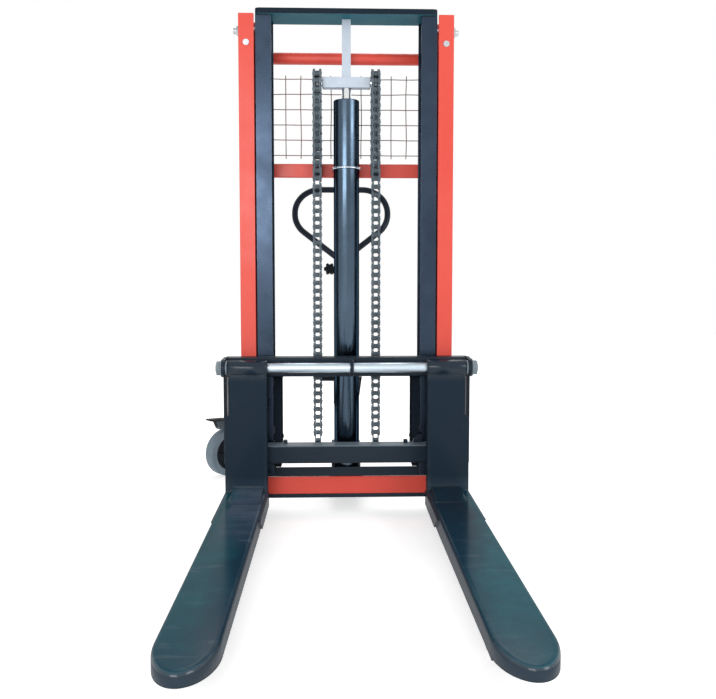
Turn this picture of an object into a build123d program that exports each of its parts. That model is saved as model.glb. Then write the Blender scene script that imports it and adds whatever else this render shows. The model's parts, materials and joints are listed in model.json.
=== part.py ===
from build123d import *
from math import ceil, cos, pi, radians, sin
import os

os.makedirs("parts", exist_ok=True)

# Manual pallet stacker with a two-stage mast, in millimetres.
# Modelled about the middle of the mast on the floor: X to the right, forks along -Y, Z up.
# Every finished piece is then moved so that the frame's origin is the middle of the footprint.
footprint_x = -33.4
footprint_y = -335.4

# Clearances
running_gap = 0.05
seat_gap = 0.3
roller_gap = 1.0
slide_gap = 0.5

# Outer mast stage
mast_width = 673
outer_post_width = 48
outer_post_depth = 100
outer_post_web = 6
outer_post_flange = 7
outer_post_top = 1590
bottom_beam_low = 74
bottom_beam_height = 57
bottom_beam_thickness = 8
tie_bar_diameter = 38
tie_bar_drop = 107
middle_bar_drop = 471
middle_bar_height = 45
middle_bar_thickness = 12

# Guard mesh
mesh_cell = 49
mesh_wire = 3
mesh_rows = 5
mesh_bar_gap = 27
mesh_stub = 12

# Inner mast stage
stage_gap = 4
inner_post_width = 50
inner_post_depth = 92
inner_post_web = 7
inner_post_flange = 7
inner_post_rise = -2
top_plate_thickness = 17
top_plate_depth = 112
top_plate_corner = 14
bottom_plate_thickness = 7
bottom_plate_lip = 29
bottom_plate_lip_depth = 4

# Rollers that guide the stages and the carriage
axle_diameter = 20
axle_collar_diameter = 28
lower_roller_width = 26
lower_roller_height = 62
upper_roller_width = 18
upper_roller_drop = 41
carriage_roller_width = 17
carriage_roller_rise = 61
carriage_roller_drop = 11
roller_edge = 2
axle_nut_length = 10
axle_stud_length = 8
guide_bolt_drop = 89
guide_bolt_diameter = 10
guide_bolt_head_diameter = 19
guide_bolt_head = 2.5

# Lift cylinder, rod and crosshead
cylinder_diameter = 82
cylinder_bore = 60
rod_show = 39
cylinder_gland = 30
cylinder_floor = 16
cylinder_edge = 3
rod_diameter = 30
piston_length = 40
crosshead_half_span = 76
crosshead_height = 33
crosshead_depth = 32
crosshead_bar_width = 28
crosshead_bar_depth = 12
chain_axle_drop = 201
strap_wire = 6

# Roller chain
chain_x = 93
chain_pitch = 25.4
chain_inner_width = 12.6
chain_plate_thickness = 3.7
chain_plate_height = 24
chain_roller_diameter = 12.7
wrap_links = 4
anchor_base_width = 36
anchor_tongue_depth = 20

# Fork carriage
beam_mast_gap = 7
lower_beam_low = 189
lower_beam_height = 56
lower_beam_depth = 59
top_beam_low = 463
top_beam_height = 60
top_beam_depth = 50
top_beam_setback = 3
beam_wall = 5
beam_corner = 5
end_plate_thickness = 11
end_plate_gap = 6
end_strip_depth = 32
end_lug_radius = 28
side_plate_thickness = 22
side_plate_post_gap = 2
side_plate_drop = 13
side_plate_foot = 25
side_plate_rear = 44
side_plate_corner = 20
shaft_diameter = 30
shaft_rise = 31
shaft_lug_width = 11
shaft_lug_x = 14
shaft_nut_length = 16
shaft_nut_flats = 41

# Forks
fork_length = 1078
fork_width = 126
fork_spread = 753
fork_top = 110
fork_wall = 8
fork_heel_depth = 53
fork_nose_depth = 39
fork_nose_run = 125
fork_tip_depth = 27
fork_edge = 9
fork_nose_block = 100
fork_heel_block = 30
shank_width = 118
shank_inset = 7
shank_depth = 37
shank_drop = 21
shank_edge = 5
eye_diameter = 48
eye_length = 122
heel_sleeve_length = 255
heel_sleeve_foot = 185
heel_sleeve_wall = 5
shank_plate_top = 356
shank_plate_slope = 20
heel_wedge_height = 13
heel_wedge_length = 120
heel_wedge_width = 92

# Legs and load rollers
leg_width = 80
leg_low = 14
leg_height = 35
leg_wall = 5
leg_rear = 60
load_roller_diameter = 54
load_roller_width = 62
load_roller_setback = 255
load_axle_diameter = 16
leg_nose = 45
roller_slot_margin = 9

# Rear casters
caster_x = 420
caster_y = 510
caster_trail = 45
caster_turn = 222
wheel_diameter = 180
wheel_width = 48
tyre_thickness = 24
tyre_edge = 9
hub_recess = 8
hub_boss_diameter = 46
yoke_plate = 6
yoke_wheel_gap = 4
yoke_crown_gap = 19
yoke_crown_thickness = 8
yoke_crown_half = 32
yoke_eye_radius = 20
bearing_diameter = 64
kingpin_diameter = 28
kingpin_nut_length = 12
kingpin_nut_flats = 42
arm_rise = 25
arm_height = 50
arm_width = 44
pedal_pivot_run = 44
pedal_pivot_rise = 10
pedal_pin_diameter = 8
pedal_knuckle_diameter = 16
pedal_knuckle_width = 26
pedal_ear = 5
pedal_reach = 132
pedal_width = 40
pedal_thickness = 5
pedal_rise = 5

# Hand pump and tiller
base_plate_thickness = 12
base_tongue_width = 120
base_tongue_rear = 255
pump_width = 72
pump_length = 110
pump_x = -4
pump_y = 175
pump_top = 330
pump_block_width = 100
pump_block_top = 190
pump_corner = 10
tiller_x = -13
pivot_y = 185
pivot_rise = 90
cheek_thickness = 7
cheek_radius = 22
pivot_hub_radius = 19
pivot_hub_width = 44
pivot_pin_diameter = 16
pivot_pin_overhang = 6
pivot_sleeve_diameter = 26
pivot_sleeve_length = 42
lever_top_out = 70
lever_foot_out = 58
lever_thickness = 12
plunger_arm = 40
plunger_arm_radius = 10
plunger_arm_width = 20
plunger_diameter = 22
plunger_head_diameter = 30
plunger_head = 8
plunger_length = 170
barrel_radius = 20
barrel_rise = 25
barrel_depth = 155
tiller_lean = 18
stem_diameter = 32
stem_length = 428
loop_tube = 22
loop_half_width = 171
loop_shoulder_rise = 139
loop_height = 280
loop_shoulder_radius = 92
loop_side_radius = 92
loop_neck_radius = 30
knob_drop = 34
knob_reach = 43
knob_lobes = 6
knob_radius = 15
knob_lobe_radius = 6
knob_thickness = 16
knob_pin_diameter = 10
knob_bracket_thickness = 8
knob_bracket_height = 26

# Places that follow from the sizes above
leg_top = leg_low + leg_height
inner_post_top = outer_post_top + inner_post_rise
tie_bar_z = outer_post_top - tie_bar_drop
middle_bar_z = outer_post_top - middle_bar_drop
mesh_low = middle_bar_z + middle_bar_height / 2 + mesh_bar_gap
upper_roller_z = outer_post_top - upper_roller_drop
guide_bolt_z = outer_post_top - guide_bolt_drop
chain_axle_z = outer_post_top - chain_axle_drop
outer_post_x = mast_width / 2 - outer_post_width / 2
outer_tip_x = mast_width / 2 - outer_post_width
leg_x = outer_post_x
mesh_columns = ceil(2 * outer_tip_x / mesh_cell)
inner_post_out_x = outer_tip_x - stage_gap
inner_post_x = inner_post_out_x - inner_post_width / 2
inner_post_in_x = inner_post_out_x - inner_post_width
web_out_x = inner_post_x + inner_post_web / 2
web_in_x = inner_post_x - inner_post_web / 2
post_rear_y = outer_post_depth / 2
bottom_beam_top = bottom_beam_low + bottom_beam_height
bottom_plate_low = bottom_beam_top + seat_gap
inner_post_foot = bottom_plate_low + bottom_plate_thickness
lower_roller_z = inner_post_foot + lower_roller_height
lower_roller_diameter = outer_post_depth - 2 * outer_post_flange - 2 * roller_gap
groove_roller_diameter = inner_post_depth - 2 * inner_post_flange - 2 * roller_gap
base_plate_low = bottom_beam_low - base_plate_thickness
base_plate_top = bottom_beam_low
crosshead_low = chain_axle_z - crosshead_height / 2
crosshead_top = chain_axle_z + crosshead_height / 2
cylinder_top = crosshead_low - rod_show
chain_radius = chain_pitch / (2 * sin(pi / (2 * wrap_links)))
inner_plate_x = chain_inner_width / 2
outer_plate_x = inner_plate_x + chain_plate_thickness
chain_wheel_radius = chain_radius - chain_roller_diameter / 2 - seat_gap
chain_wheel_width = chain_inner_width - 4 * seat_gap
front_drop = chain_axle_z - lower_beam_low - lower_beam_height
front_links = 2 * round((front_drop / chain_pitch - 1) / 2) + 1
rear_links = 2 * round(((chain_axle_z - middle_bar_z) / chain_pitch - 1) / 2) + 1
front_anchor_z = chain_axle_z - front_links * chain_pitch
rear_anchor_z = chain_axle_z - rear_links * chain_pitch
lower_beam_back = -(inner_post_depth / 2 + beam_mast_gap)
lower_beam_front = lower_beam_back - lower_beam_depth
shank_back = lower_beam_front - slide_gap
shank_front = shank_back - shank_depth
top_beam_front = shank_back + top_beam_setback
top_beam_back = top_beam_front + top_beam_depth
top_beam_top = top_beam_low + top_beam_height
side_plate_top = top_beam_top - side_plate_drop
side_plate_low = lower_beam_low - side_plate_foot
shaft_z = top_beam_low + shaft_rise
shank_top = shaft_z - shank_drop
carriage_roller_low_z = lower_beam_low + carriage_roller_rise
carriage_roller_high_z = top_beam_low - carriage_roller_drop
shaft_y = shank_back - eye_diameter / 2
side_plate_x = inner_post_in_x - side_plate_post_gap - side_plate_thickness
fork_x = fork_spread / 2 - fork_width / 2
shank_x = fork_x - shank_inset
end_plate_x = shank_x + eye_length / 2 + end_plate_gap
fork_tip = shank_front - fork_length
load_roller_y = fork_tip + load_roller_setback
load_roller_z = load_roller_diameter / 2
leg_front = load_roller_y - leg_nose
wheel_radius = wheel_diameter / 2
yoke_inside = wheel_width / 2 + yoke_wheel_gap
yoke_crown_low = wheel_diameter + yoke_crown_gap
yoke_crown_top = yoke_crown_low + yoke_crown_thickness
arm_low = yoke_crown_top + arm_rise
arm_top = arm_low + arm_height
pivot_z = pump_top + pivot_rise
barrel_top = pump_top + barrel_rise
barrel_y = pivot_y + plunger_arm
cheek_inside = pivot_hub_width / 2 + slide_gap
plunger_top = pivot_z - plunger_arm_radius - slide_gap
knob_rise = stem_length - knob_drop
sides = ((-1, "left"), (1, "right"))


def save(builder, name):
    """Moves a finished piece to the frame's origin, labels it and writes it."""
    placed = Pos(-footprint_x, -footprint_y, 0) * builder.part
    placed.label = name
    export_step(placed, f"parts/{name}.step")


def round_bar(diameter, x_from, x_to, y, z, mode=Mode.ADD):
    """A round bar along X between two places."""
    with Locations(((x_from + x_to) / 2, y, z)):
        Cylinder(diameter / 2, abs(x_to - x_from), rotation=(0, 90, 0), mode=mode)


def block(x_from, x_to, y_from, y_to, z_from, z_to, mode=Mode.ADD):
    """A rectangular block between two corners."""
    with Locations(((x_from + x_to) / 2, (y_from + y_to) / 2, (z_from + z_to) / 2)):
        Box(abs(x_to - x_from), abs(y_to - y_from), abs(z_to - z_from), mode=mode)


# Outer posts: channels that open inwards and stand on the legs
for side, hand in sides:
    with BuildPart() as outer_post:
        with BuildSketch(Plane.XY.offset(leg_top)):
            with Locations((side * outer_post_x, 0)):
                Rectangle(outer_post_width, outer_post_depth)
            with Locations((side * (outer_post_x - outer_post_web), 0)):
                groove = outer_post_depth - 2 * outer_post_flange
                Rectangle(outer_post_width, groove, mode=Mode.SUBTRACT)
        extrude(amount=outer_post_top - leg_top)
        hole = axle_diameter + 2 * running_gap
        round_bar(hole, side * outer_tip_x, side * mast_width, 0, upper_roller_z, Mode.SUBTRACT)
        with Locations((side * outer_post_x, -post_rear_y, guide_bolt_z)):
            bolt_hole = guide_bolt_diameter / 2 + running_gap
            Cylinder(bolt_hole, 4 * outer_post_flange, rotation=(90, 0, 0), mode=Mode.SUBTRACT)
    save(outer_post, f"outer_post_{hand}")

# Bottom beam between the posts, at the front of the mast
with BuildPart() as bottom_beam:
    block(
        -outer_tip_x, outer_tip_x,
        -post_rear_y, -post_rear_y + bottom_beam_thickness,
        bottom_beam_low, bottom_beam_top,
    )
save(bottom_beam, "bottom_beam")

# Round tie bar behind the posts, near their tops
with BuildPart() as top_tie_bar:
    tie_bar_y = post_rear_y + tie_bar_diameter / 2
    round_bar(tie_bar_diameter, -mast_width / 2, mast_width / 2, tie_bar_y, tie_bar_z)
save(top_tie_bar, "top_tie_bar")

# Flat tie bar behind the posts, which also holds the chain ends and the cylinder
with BuildPart() as middle_tie_bar:
    block(
        -mast_width / 2, mast_width / 2,
        post_rear_y, post_rear_y + middle_bar_thickness,
        middle_bar_z - middle_bar_height / 2, middle_bar_z + middle_bar_height / 2,
    )
save(middle_tie_bar, "middle_tie_bar")

# Welded wire guard on the backs of the posts
with BuildPart() as guard_mesh:
    mesh_height = mesh_rows * mesh_cell
    mesh_width = mesh_columns * mesh_cell
    with BuildSketch(Plane.XZ.offset(-post_rear_y)):
        with Locations((0, mesh_low + mesh_height / 2)):
            with GridLocations(mesh_cell, mesh_cell, mesh_columns + 1, 1):
                Rectangle(mesh_wire, mesh_height + 2 * mesh_stub)
            with GridLocations(mesh_cell, mesh_cell, 1, mesh_rows + 1):
                Rectangle(mesh_width + mesh_wire, mesh_wire)
    extrude(amount=-mesh_wire)
save(guard_mesh, "guard_mesh")

# Legs: low box sections under the forks, open at the front for the load rollers
for side, hand in sides:
    with BuildPart() as leg:
        out_x = leg_width / 2
        with BuildSketch(Plane.XY.offset(leg_low)):
            with Locations((side * leg_x, (leg_front + leg_rear) / 2)):
                Rectangle(leg_width, leg_rear - leg_front)
        extrude(amount=leg_height)
        block(
            side * leg_x - out_x + leg_wall, side * leg_x + out_x - leg_wall,
            leg_front + leg_wall, leg_rear - leg_wall,
            leg_low + leg_wall, leg_top - leg_wall, Mode.SUBTRACT,
        )
        slot = load_roller_diameter / 2 + roller_slot_margin
        block(
            side * leg_x - out_x + leg_wall, side * leg_x + out_x - leg_wall,
            load_roller_y - slot, load_roller_y + slot, 0, leg_top, Mode.SUBTRACT,
        )
        hole = load_axle_diameter + 2 * running_gap
        reach = (leg_x - out_x, leg_x + out_x)
        round_bar(hole, side * reach[0], side * reach[1], load_roller_y, load_roller_z, Mode.SUBTRACT)
    save(leg, f"leg_{hand}")

# Load rollers and the axles that hold them in the legs
for side, hand in sides:
    with BuildPart() as load_roller:
        half = load_roller_width / 2
        ends = (side * leg_x - half, side * leg_x + half)
        round_bar(load_roller_diameter, *ends, load_roller_y, load_roller_z)
        chamfer(load_roller.edges().filter_by(GeomType.CIRCLE), roller_edge)
        bore = load_axle_diameter + 4 * running_gap
        round_bar(bore, *ends, load_roller_y, load_roller_z, Mode.SUBTRACT)
    save(load_roller, f"load_roller_{hand}")

with BuildPart() as load_roller_axles:
    for side, hand in sides:
        ends = (side * leg_x - leg_width / 2, side * leg_x + leg_width / 2)
        round_bar(load_axle_diameter, *ends, load_roller_y, load_roller_z)
save(load_roller_axles, "load_roller_axles")

# Base plate under the bottom beam, with a tongue that carries the pump
with BuildPart() as base_plate:
    with BuildSketch(Plane.XY.offset(base_plate_low)):
        Rectangle(2 * outer_tip_x, outer_post_depth)
        with Locations((0, (post_rear_y + base_tongue_rear) / 2)):
            Rectangle(base_tongue_width, base_tongue_rear - post_rear_y)
    extrude(amount=base_plate_thickness)
save(base_plate, "base_plate")

# Lift cylinder: a tube with a closed foot and a gland round the rod
with BuildPart() as lift_cylinder:
    with BuildSketch(Plane.XY.offset(base_plate_top)):
        Circle(cylinder_diameter / 2)
    extrude(amount=cylinder_top - base_plate_top)
    fillet(lift_cylinder.edges().sort_by(Axis.Z)[-1], cylinder_edge)
    with BuildSketch(Plane.XY.offset(base_plate_top + cylinder_floor)):
        Circle(cylinder_bore / 2)
    chamber = cylinder_top - cylinder_gland - base_plate_top - cylinder_floor
    extrude(amount=chamber, mode=Mode.SUBTRACT)
    with BuildSketch(Plane.XY.offset(cylinder_top)):
        Circle(rod_diameter / 2 + running_gap)
    extrude(amount=-cylinder_gland, mode=Mode.SUBTRACT)
save(lift_cylinder, "lift_cylinder")

# Wire strap that holds the cylinder to the middle tie bar
with BuildPart() as cylinder_strap:
    strap_radius = cylinder_diameter / 2 + strap_wire / 2 + seat_gap
    with BuildLine(Plane.XY.offset(middle_bar_z)) as strap_path:
        Line((-strap_radius, post_rear_y), (-strap_radius, 0))
        ThreePointArc((-strap_radius, 0), (0, -strap_radius), (strap_radius, 0))
        Line((strap_radius, 0), (strap_radius, post_rear_y))
    with BuildSketch(Plane(origin=(-strap_radius, post_rear_y, middle_bar_z), z_dir=(0, -1, 0))):
        Circle(strap_wire / 2)
    sweep(path=strap_path.wire())
save(cylinder_strap, "cylinder_strap")

# Upper roller axles with their outside nuts, and the bolts on the posts' fronts
with BuildPart() as mast_bolts:
    for side, hand in sides:
        roller_in = web_out_x + roller_gap
        roller_out = roller_in + upper_roller_width + roller_gap
        nut_out = mast_width / 2 + axle_nut_length
        round_bar(axle_diameter, side * roller_in, side * (nut_out + axle_stud_length), 0, upper_roller_z)
        collar_out = roller_out + outer_post_web
        round_bar(axle_collar_diameter, side * roller_out, side * collar_out, 0, upper_roller_z)
        with BuildSketch(Plane.YZ.offset(side * mast_width / 2)):
            with Locations((0, upper_roller_z)):
                RegularPolygon(axle_collar_diameter / 2, 6, major_radius=False)
        extrude(amount=side * axle_nut_length)
        front_y = -post_rear_y
        with Locations((side * outer_post_x, front_y - guide_bolt_head / 2, guide_bolt_z)):
            Cylinder(guide_bolt_head_diameter / 2, guide_bolt_head, rotation=(90, 0, 0))
        with Locations((side * outer_post_x, front_y + outer_post_flange / 2, guide_bolt_z)):
            Cylinder(guide_bolt_diameter / 2, outer_post_flange, rotation=(90, 0, 0))
save(mast_bolts, "mast_bolts")

# Inner posts: rolled I sections whose grooves hold rollers on both sides
for side, hand in sides:
    with BuildPart() as inner_post:
        with BuildSketch(Plane.XY.offset(inner_post_foot)):
            with Locations((side * inner_post_x, 0)):
                Rectangle(inner_post_web, inner_post_depth)
                with GridLocations(0, inner_post_depth - inner_post_flange, 1, 2):
                    Rectangle(inner_post_width, inner_post_flange)
        extrude(amount=inner_post_top - inner_post_foot)
        hole = axle_diameter + 2 * running_gap
        round_bar(hole, side * web_in_x, side * web_out_x, 0, lower_roller_z, Mode.SUBTRACT)
    save(inner_post, f"inner_post_{hand}")

with BuildPart() as inner_top_plate:
    with BuildSketch(Plane.XY.offset(inner_post_top)):
        Rectangle(2 * inner_post_out_x, top_plate_depth)
    extrude(amount=top_plate_thickness)
    fillet(inner_top_plate.edges().filter_by(Axis.Z), top_plate_corner)
save(inner_top_plate, "inner_top_plate")

with BuildPart() as inner_bottom_plate:
    with BuildSketch(Plane.XY.offset(bottom_plate_low)):
        Rectangle(2 * inner_post_out_x, inner_post_depth)
        Circle(cylinder_diameter / 2 + 2 * slide_gap, mode=Mode.SUBTRACT)
    extrude(amount=bottom_plate_thickness)
    lip_front = -inner_post_depth / 2
    block(
        -inner_post_in_x, inner_post_in_x, lip_front, lip_front + bottom_plate_lip_depth,
        bottom_plate_low, bottom_plate_low + bottom_plate_lip,
    )
save(inner_bottom_plate, "inner_bottom_plate")

# Lower roller axles, fixed in the webs of the inner posts
with BuildPart() as lower_roller_axles:
    for side, hand in sides:
        roller_out = mast_width / 2 - outer_post_web - 2 * roller_gap
        roller_in = roller_out - lower_roller_width
        round_bar(axle_diameter, side * web_in_x, side * roller_out, 0, lower_roller_z)
        collar = (side * web_out_x, side * (roller_in - roller_gap))
        round_bar(axle_collar_diameter, *collar, 0, lower_roller_z)
save(lower_roller_axles, "lower_roller_axles")


def guide_roller(diameter, x_from, x_to, z, name):
    """A guide roller on an axle along X at the middle of the mast."""
    with BuildPart() as roller:
        round_bar(diameter, x_from, x_to, 0, z)
        chamfer(roller.edges().filter_by(GeomType.CIRCLE), roller_edge)
        round_bar(axle_diameter + 2 * running_gap, x_from, x_to, 0, z, Mode.SUBTRACT)
    save(roller, name)


for side, hand in sides:
    roller_out = mast_width / 2 - outer_post_web - 2 * roller_gap
    ends = (side * (roller_out - lower_roller_width), side * roller_out)
    guide_roller(lower_roller_diameter, *ends, lower_roller_z, f"lower_mast_roller_{hand}")
    roller_in = web_out_x + roller_gap
    ends = (side * roller_in, side * (roller_in + upper_roller_width))
    guide_roller(groove_roller_diameter, *ends, upper_roller_z, f"upper_mast_roller_{hand}")
    roller_out = web_in_x - roller_gap
    ends = (side * (roller_out - carriage_roller_width), side * roller_out)
    guide_roller(groove_roller_diameter, *ends, carriage_roller_low_z, f"carriage_roller_low_{hand}")
    guide_roller(groove_roller_diameter, *ends, carriage_roller_high_z, f"carriage_roller_high_{hand}")

# Piston rod, with its piston inside the cylinder
with BuildPart() as lift_rod:
    piston_low = base_plate_top + cylinder_floor + slide_gap
    with BuildSketch(Plane.XY.offset(piston_low)):
        Circle(cylinder_bore / 2 - running_gap)
    extrude(amount=piston_length)
    with BuildSketch(Plane.XY.offset(piston_low)):
        Circle(rod_diameter / 2)
    extrude(amount=crosshead_low - piston_low)
save(lift_rod, "lift_rod")

# Crosshead: a T piece that joins the rod, the chain axle and the top plate
with BuildPart() as crosshead:
    span = crosshead_half_span
    deep = crosshead_depth / 2
    block(-span, span, -deep, deep, crosshead_low, crosshead_top)
    bar_x = crosshead_bar_width / 2
    bar_y = crosshead_bar_depth / 2
    block(-bar_x, bar_x, -bar_y, bar_y, crosshead_top, inner_post_top)
    round_bar(axle_diameter + 2 * running_gap, -span, span, 0, chain_axle_z, Mode.SUBTRACT)
save(crosshead, "crosshead")

# One axle through the crosshead carries both chain wheels
with BuildPart() as chain_axle:
    wheel_in = chain_x - chain_wheel_width / 2
    wheel_out = chain_x + chain_wheel_width / 2
    collar_out = wheel_out + slide_gap + chain_plate_thickness
    round_bar(axle_diameter, -collar_out, collar_out, 0, chain_axle_z)
    for side, hand in sides:
        spacer = (side * crosshead_half_span, side * (wheel_in - slide_gap))
        round_bar(axle_collar_diameter, *spacer, 0, chain_axle_z)
        collar = (side * (wheel_out + slide_gap), side * collar_out)
        round_bar(axle_collar_diameter, *collar, 0, chain_axle_z)
save(chain_axle, "chain_axle")

for side, hand in sides:
    with BuildPart() as chain_wheel:
        half = chain_wheel_width / 2
        ends = (side * chain_x - half, side * chain_x + half)
        round_bar(2 * chain_wheel_radius, *ends, 0, chain_axle_z)
        round_bar(axle_diameter + 2 * running_gap, *ends, 0, chain_axle_z, Mode.SUBTRACT)
    save(chain_wheel, f"chain_wheel_{hand}")


def chain_links(side, centres, inner):
    """Both six-sided plates of each link whose middle and turn are given, on one side of the machine."""
    half = chain_plate_height / 2
    long = chain_pitch / 2 + half
    waist = chain_pitch / 2
    corners = ((0, long), (half, waist), (half, -waist), (0, -long), (-half, -waist), (-half, waist))
    near = inner_plate_x if inner else outer_plate_x
    for start in (near, -near - chain_plate_thickness):
        with BuildSketch(Plane.YZ.offset(side * chain_x + start)) as plates:
            for y, z, turn in centres:
                with Locations(Location((y, z, 0), (0, 0, turn))):
                    Polygon(*corners, align=None)
        extrude(plates.sketch, amount=chain_plate_thickness)


def chain_rollers(side, pins):
    """The rollers between the inner plates, as eight-sided prisms."""
    with BuildSketch(Plane.YZ.offset(side * chain_x - inner_plate_x)) as rollers:
        with Locations(*pins):
            RegularPolygon(chain_roller_diameter / 2, 8)
    extrude(rollers.sketch, amount=chain_inner_width)


def straight_chain(side, y, links, inner_first):
    """A hanging strand: inner and outer links in turn from the top pin down, rollers in the inner ones."""
    middles = [chain_axle_z - chain_pitch * (link + 0.5) for link in range(links)]
    first = 0 if inner_first else 1
    chain_links(side, [(y, z, 0) for z in middles[first::2]], True)
    chain_links(side, [(y, z, 0) for z in middles[1 - first::2]], False)
    chain_rollers(side, [(y, chain_axle_z - chain_pitch * pin) for pin in range(first, links)])


# Front strands run from the wheels down to the carriage
with BuildPart() as front_chains:
    for side, hand in sides:
        straight_chain(side, -chain_radius, front_links, True)
save(front_chains, "front_chains")

# Rear strands run from the wheels down to the middle tie bar
with BuildPart() as rear_chains:
    for side, hand in sides:
        straight_chain(side, chain_radius, rear_links, False)
save(rear_chains, "rear_chains")

# The links that lie over the wheels, half a turn from the front strand to the rear one
with BuildPart() as chain_wraps:
    step = 180 / wrap_links
    flat = chain_radius * cos(radians(step / 2))
    over = []
    for link in range(wrap_links):
        turn = 180 - step * (link + 0.5)
        over.append((flat * cos(radians(turn)), chain_axle_z + flat * sin(radians(turn)), turn))
    pins = []
    for pin in range(1, wrap_links + 1):
        angle = radians(180 - step * pin)
        pins.append((chain_radius * cos(angle), chain_axle_z + chain_radius * sin(angle)))
    for side, hand in sides:
        chain_links(side, over[0::2], False)
        chain_links(side, over[1::2], True)
        chain_rollers(side, pins)
save(chain_wraps, "chain_wraps")

# Chain anchors on the back of the carriage's lower beam
with BuildPart() as front_chain_anchors:
    for side, hand in sides:
        half = anchor_base_width / 2
        tongue = inner_plate_x - seat_gap
        deep = anchor_tongue_depth / 2
        base_top = front_anchor_z - chain_plate_height
        place = side * chain_x
        block(place - half, place + half, lower_beam_back, -chain_radius + deep, lower_beam_low, base_top)
        tongue_y = (-chain_radius - deep, -chain_radius + deep)
        block(place - tongue, place + tongue, *tongue_y, base_top, front_anchor_z)
save(front_chain_anchors, "front_chain_anchors")

# Chain anchors on the front of the middle tie bar
with BuildPart() as rear_chain_anchors:
    for side, hand in sides:
        tongue = outer_plate_x - seat_gap
        deep = anchor_tongue_depth / 2
        place = side * chain_x
        low = rear_anchor_z - deep
        block(place - tongue, place + tongue, chain_radius - deep, post_rear_y, low, rear_anchor_z + deep)
save(rear_chain_anchors, "rear_chain_anchors")


def box_beam(y_from, depth, z_from, height):
    """A rectangular tube along X between the end plates."""
    with BuildSketch(Plane.YZ.offset(-end_plate_x)) as section:
        with Locations((y_from + depth / 2, z_from + height / 2)):
            RectangleRounded(depth, height, beam_corner)
            Rectangle(depth - 2 * beam_wall, height - 2 * beam_wall, mode=Mode.SUBTRACT)
    extrude(section.sketch, amount=2 * end_plate_x)


# Carriage top beam, with the lug that holds the fork shaft at its middle
with BuildPart() as carriage_top_beam:
    box_beam(top_beam_front, top_beam_depth, top_beam_low, top_beam_height)
    with BuildSketch(Plane.YZ.offset(shaft_lug_x - shaft_lug_width / 2)):
        with Locations((shaft_y, shaft_z)):
            Circle(eye_diameter / 2)
        with Locations(((shaft_y + top_beam_front) / 2, shaft_z)):
            Rectangle(top_beam_front - shaft_y, eye_diameter)
        with Locations((shaft_y, shaft_z)):
            Circle(shaft_diameter / 2 + running_gap, mode=Mode.SUBTRACT)
    extrude(amount=shaft_lug_width)
save(carriage_top_beam, "carriage_top_beam")

with BuildPart() as carriage_lower_beam:
    box_beam(lower_beam_front, lower_beam_depth, lower_beam_low, lower_beam_height)
save(carriage_lower_beam, "carriage_lower_beam")

# End plates tie the two beams and hold the ends of the fork shaft
with BuildPart() as carriage_end_plates:
    for side, hand in sides:
        with BuildSketch(Plane.YZ.offset(side * end_plate_x)):
            strip_z = (lower_beam_low + top_beam_top) / 2
            with Locations((lower_beam_front + end_strip_depth / 2, strip_z)):
                Rectangle(end_strip_depth, top_beam_top - lower_beam_low)
            with Locations((shaft_y, shaft_z)):
                Circle(end_lug_radius)
            with Locations(((shaft_y + top_beam_front) / 2, shaft_z)):
                Rectangle(top_beam_front - shaft_y, 2 * end_lug_radius)
            with Locations((shaft_y, shaft_z)):
                Circle(shaft_diameter / 2 + running_gap, mode=Mode.SUBTRACT)
        extrude(amount=side * end_plate_thickness)
save(carriage_end_plates, "carriage_end_plates")

# Side plates reach back into the mast and carry the rollers
with BuildPart() as carriage_side_plates:
    for side, hand in sides:
        with BuildSketch(Plane.YZ.offset(side * side_plate_x)):
            plate_z = (side_plate_low + side_plate_top) / 2
            with Locations(((lower_beam_back + side_plate_rear) / 2, plate_z)):
                Rectangle(side_plate_rear - lower_beam_back, side_plate_top - side_plate_low)
            with Locations(((top_beam_back + lower_beam_back) / 2, (top_beam_low + side_plate_top) / 2)):
                Rectangle(lower_beam_back - top_beam_back, side_plate_top - top_beam_low)
            for roller_z in (carriage_roller_low_z, carriage_roller_high_z):
                with Locations((0, roller_z)):
                    Circle(axle_diameter / 2 + running_gap, mode=Mode.SUBTRACT)
        extrude(amount=side * side_plate_thickness)
    fillet(carriage_side_plates.edges().filter_by(Axis.X).group_by(Axis.Y)[-1], side_plate_corner)
save(carriage_side_plates, "carriage_side_plates")

with BuildPart() as carriage_roller_axles:
    for side, hand in sides:
        for roller_z in (carriage_roller_low_z, carriage_roller_high_z):
            round_bar(axle_diameter, side * side_plate_x, side * (web_in_x - roller_gap), 0, roller_z)
save(carriage_roller_axles, "carriage_roller_axles")

# Fork shaft and its end nuts
shaft_end = end_plate_x + end_plate_thickness + shaft_nut_length
with BuildPart() as fork_shaft:
    round_bar(shaft_diameter, -shaft_end, shaft_end, shaft_y, shaft_z)
save(fork_shaft, "fork_shaft")

with BuildPart() as shaft_nuts:
    for side, hand in sides:
        with BuildSketch(Plane.YZ.offset(side * (end_plate_x + end_plate_thickness))):
            with Locations((shaft_y, shaft_z)):
                RegularPolygon(shaft_nut_flats / 2, 6, major_radius=False)
                Circle(shaft_diameter / 2 + running_gap, mode=Mode.SUBTRACT)
        extrude(amount=side * shaft_nut_length)
save(shaft_nuts, "shaft_nuts")

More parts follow.
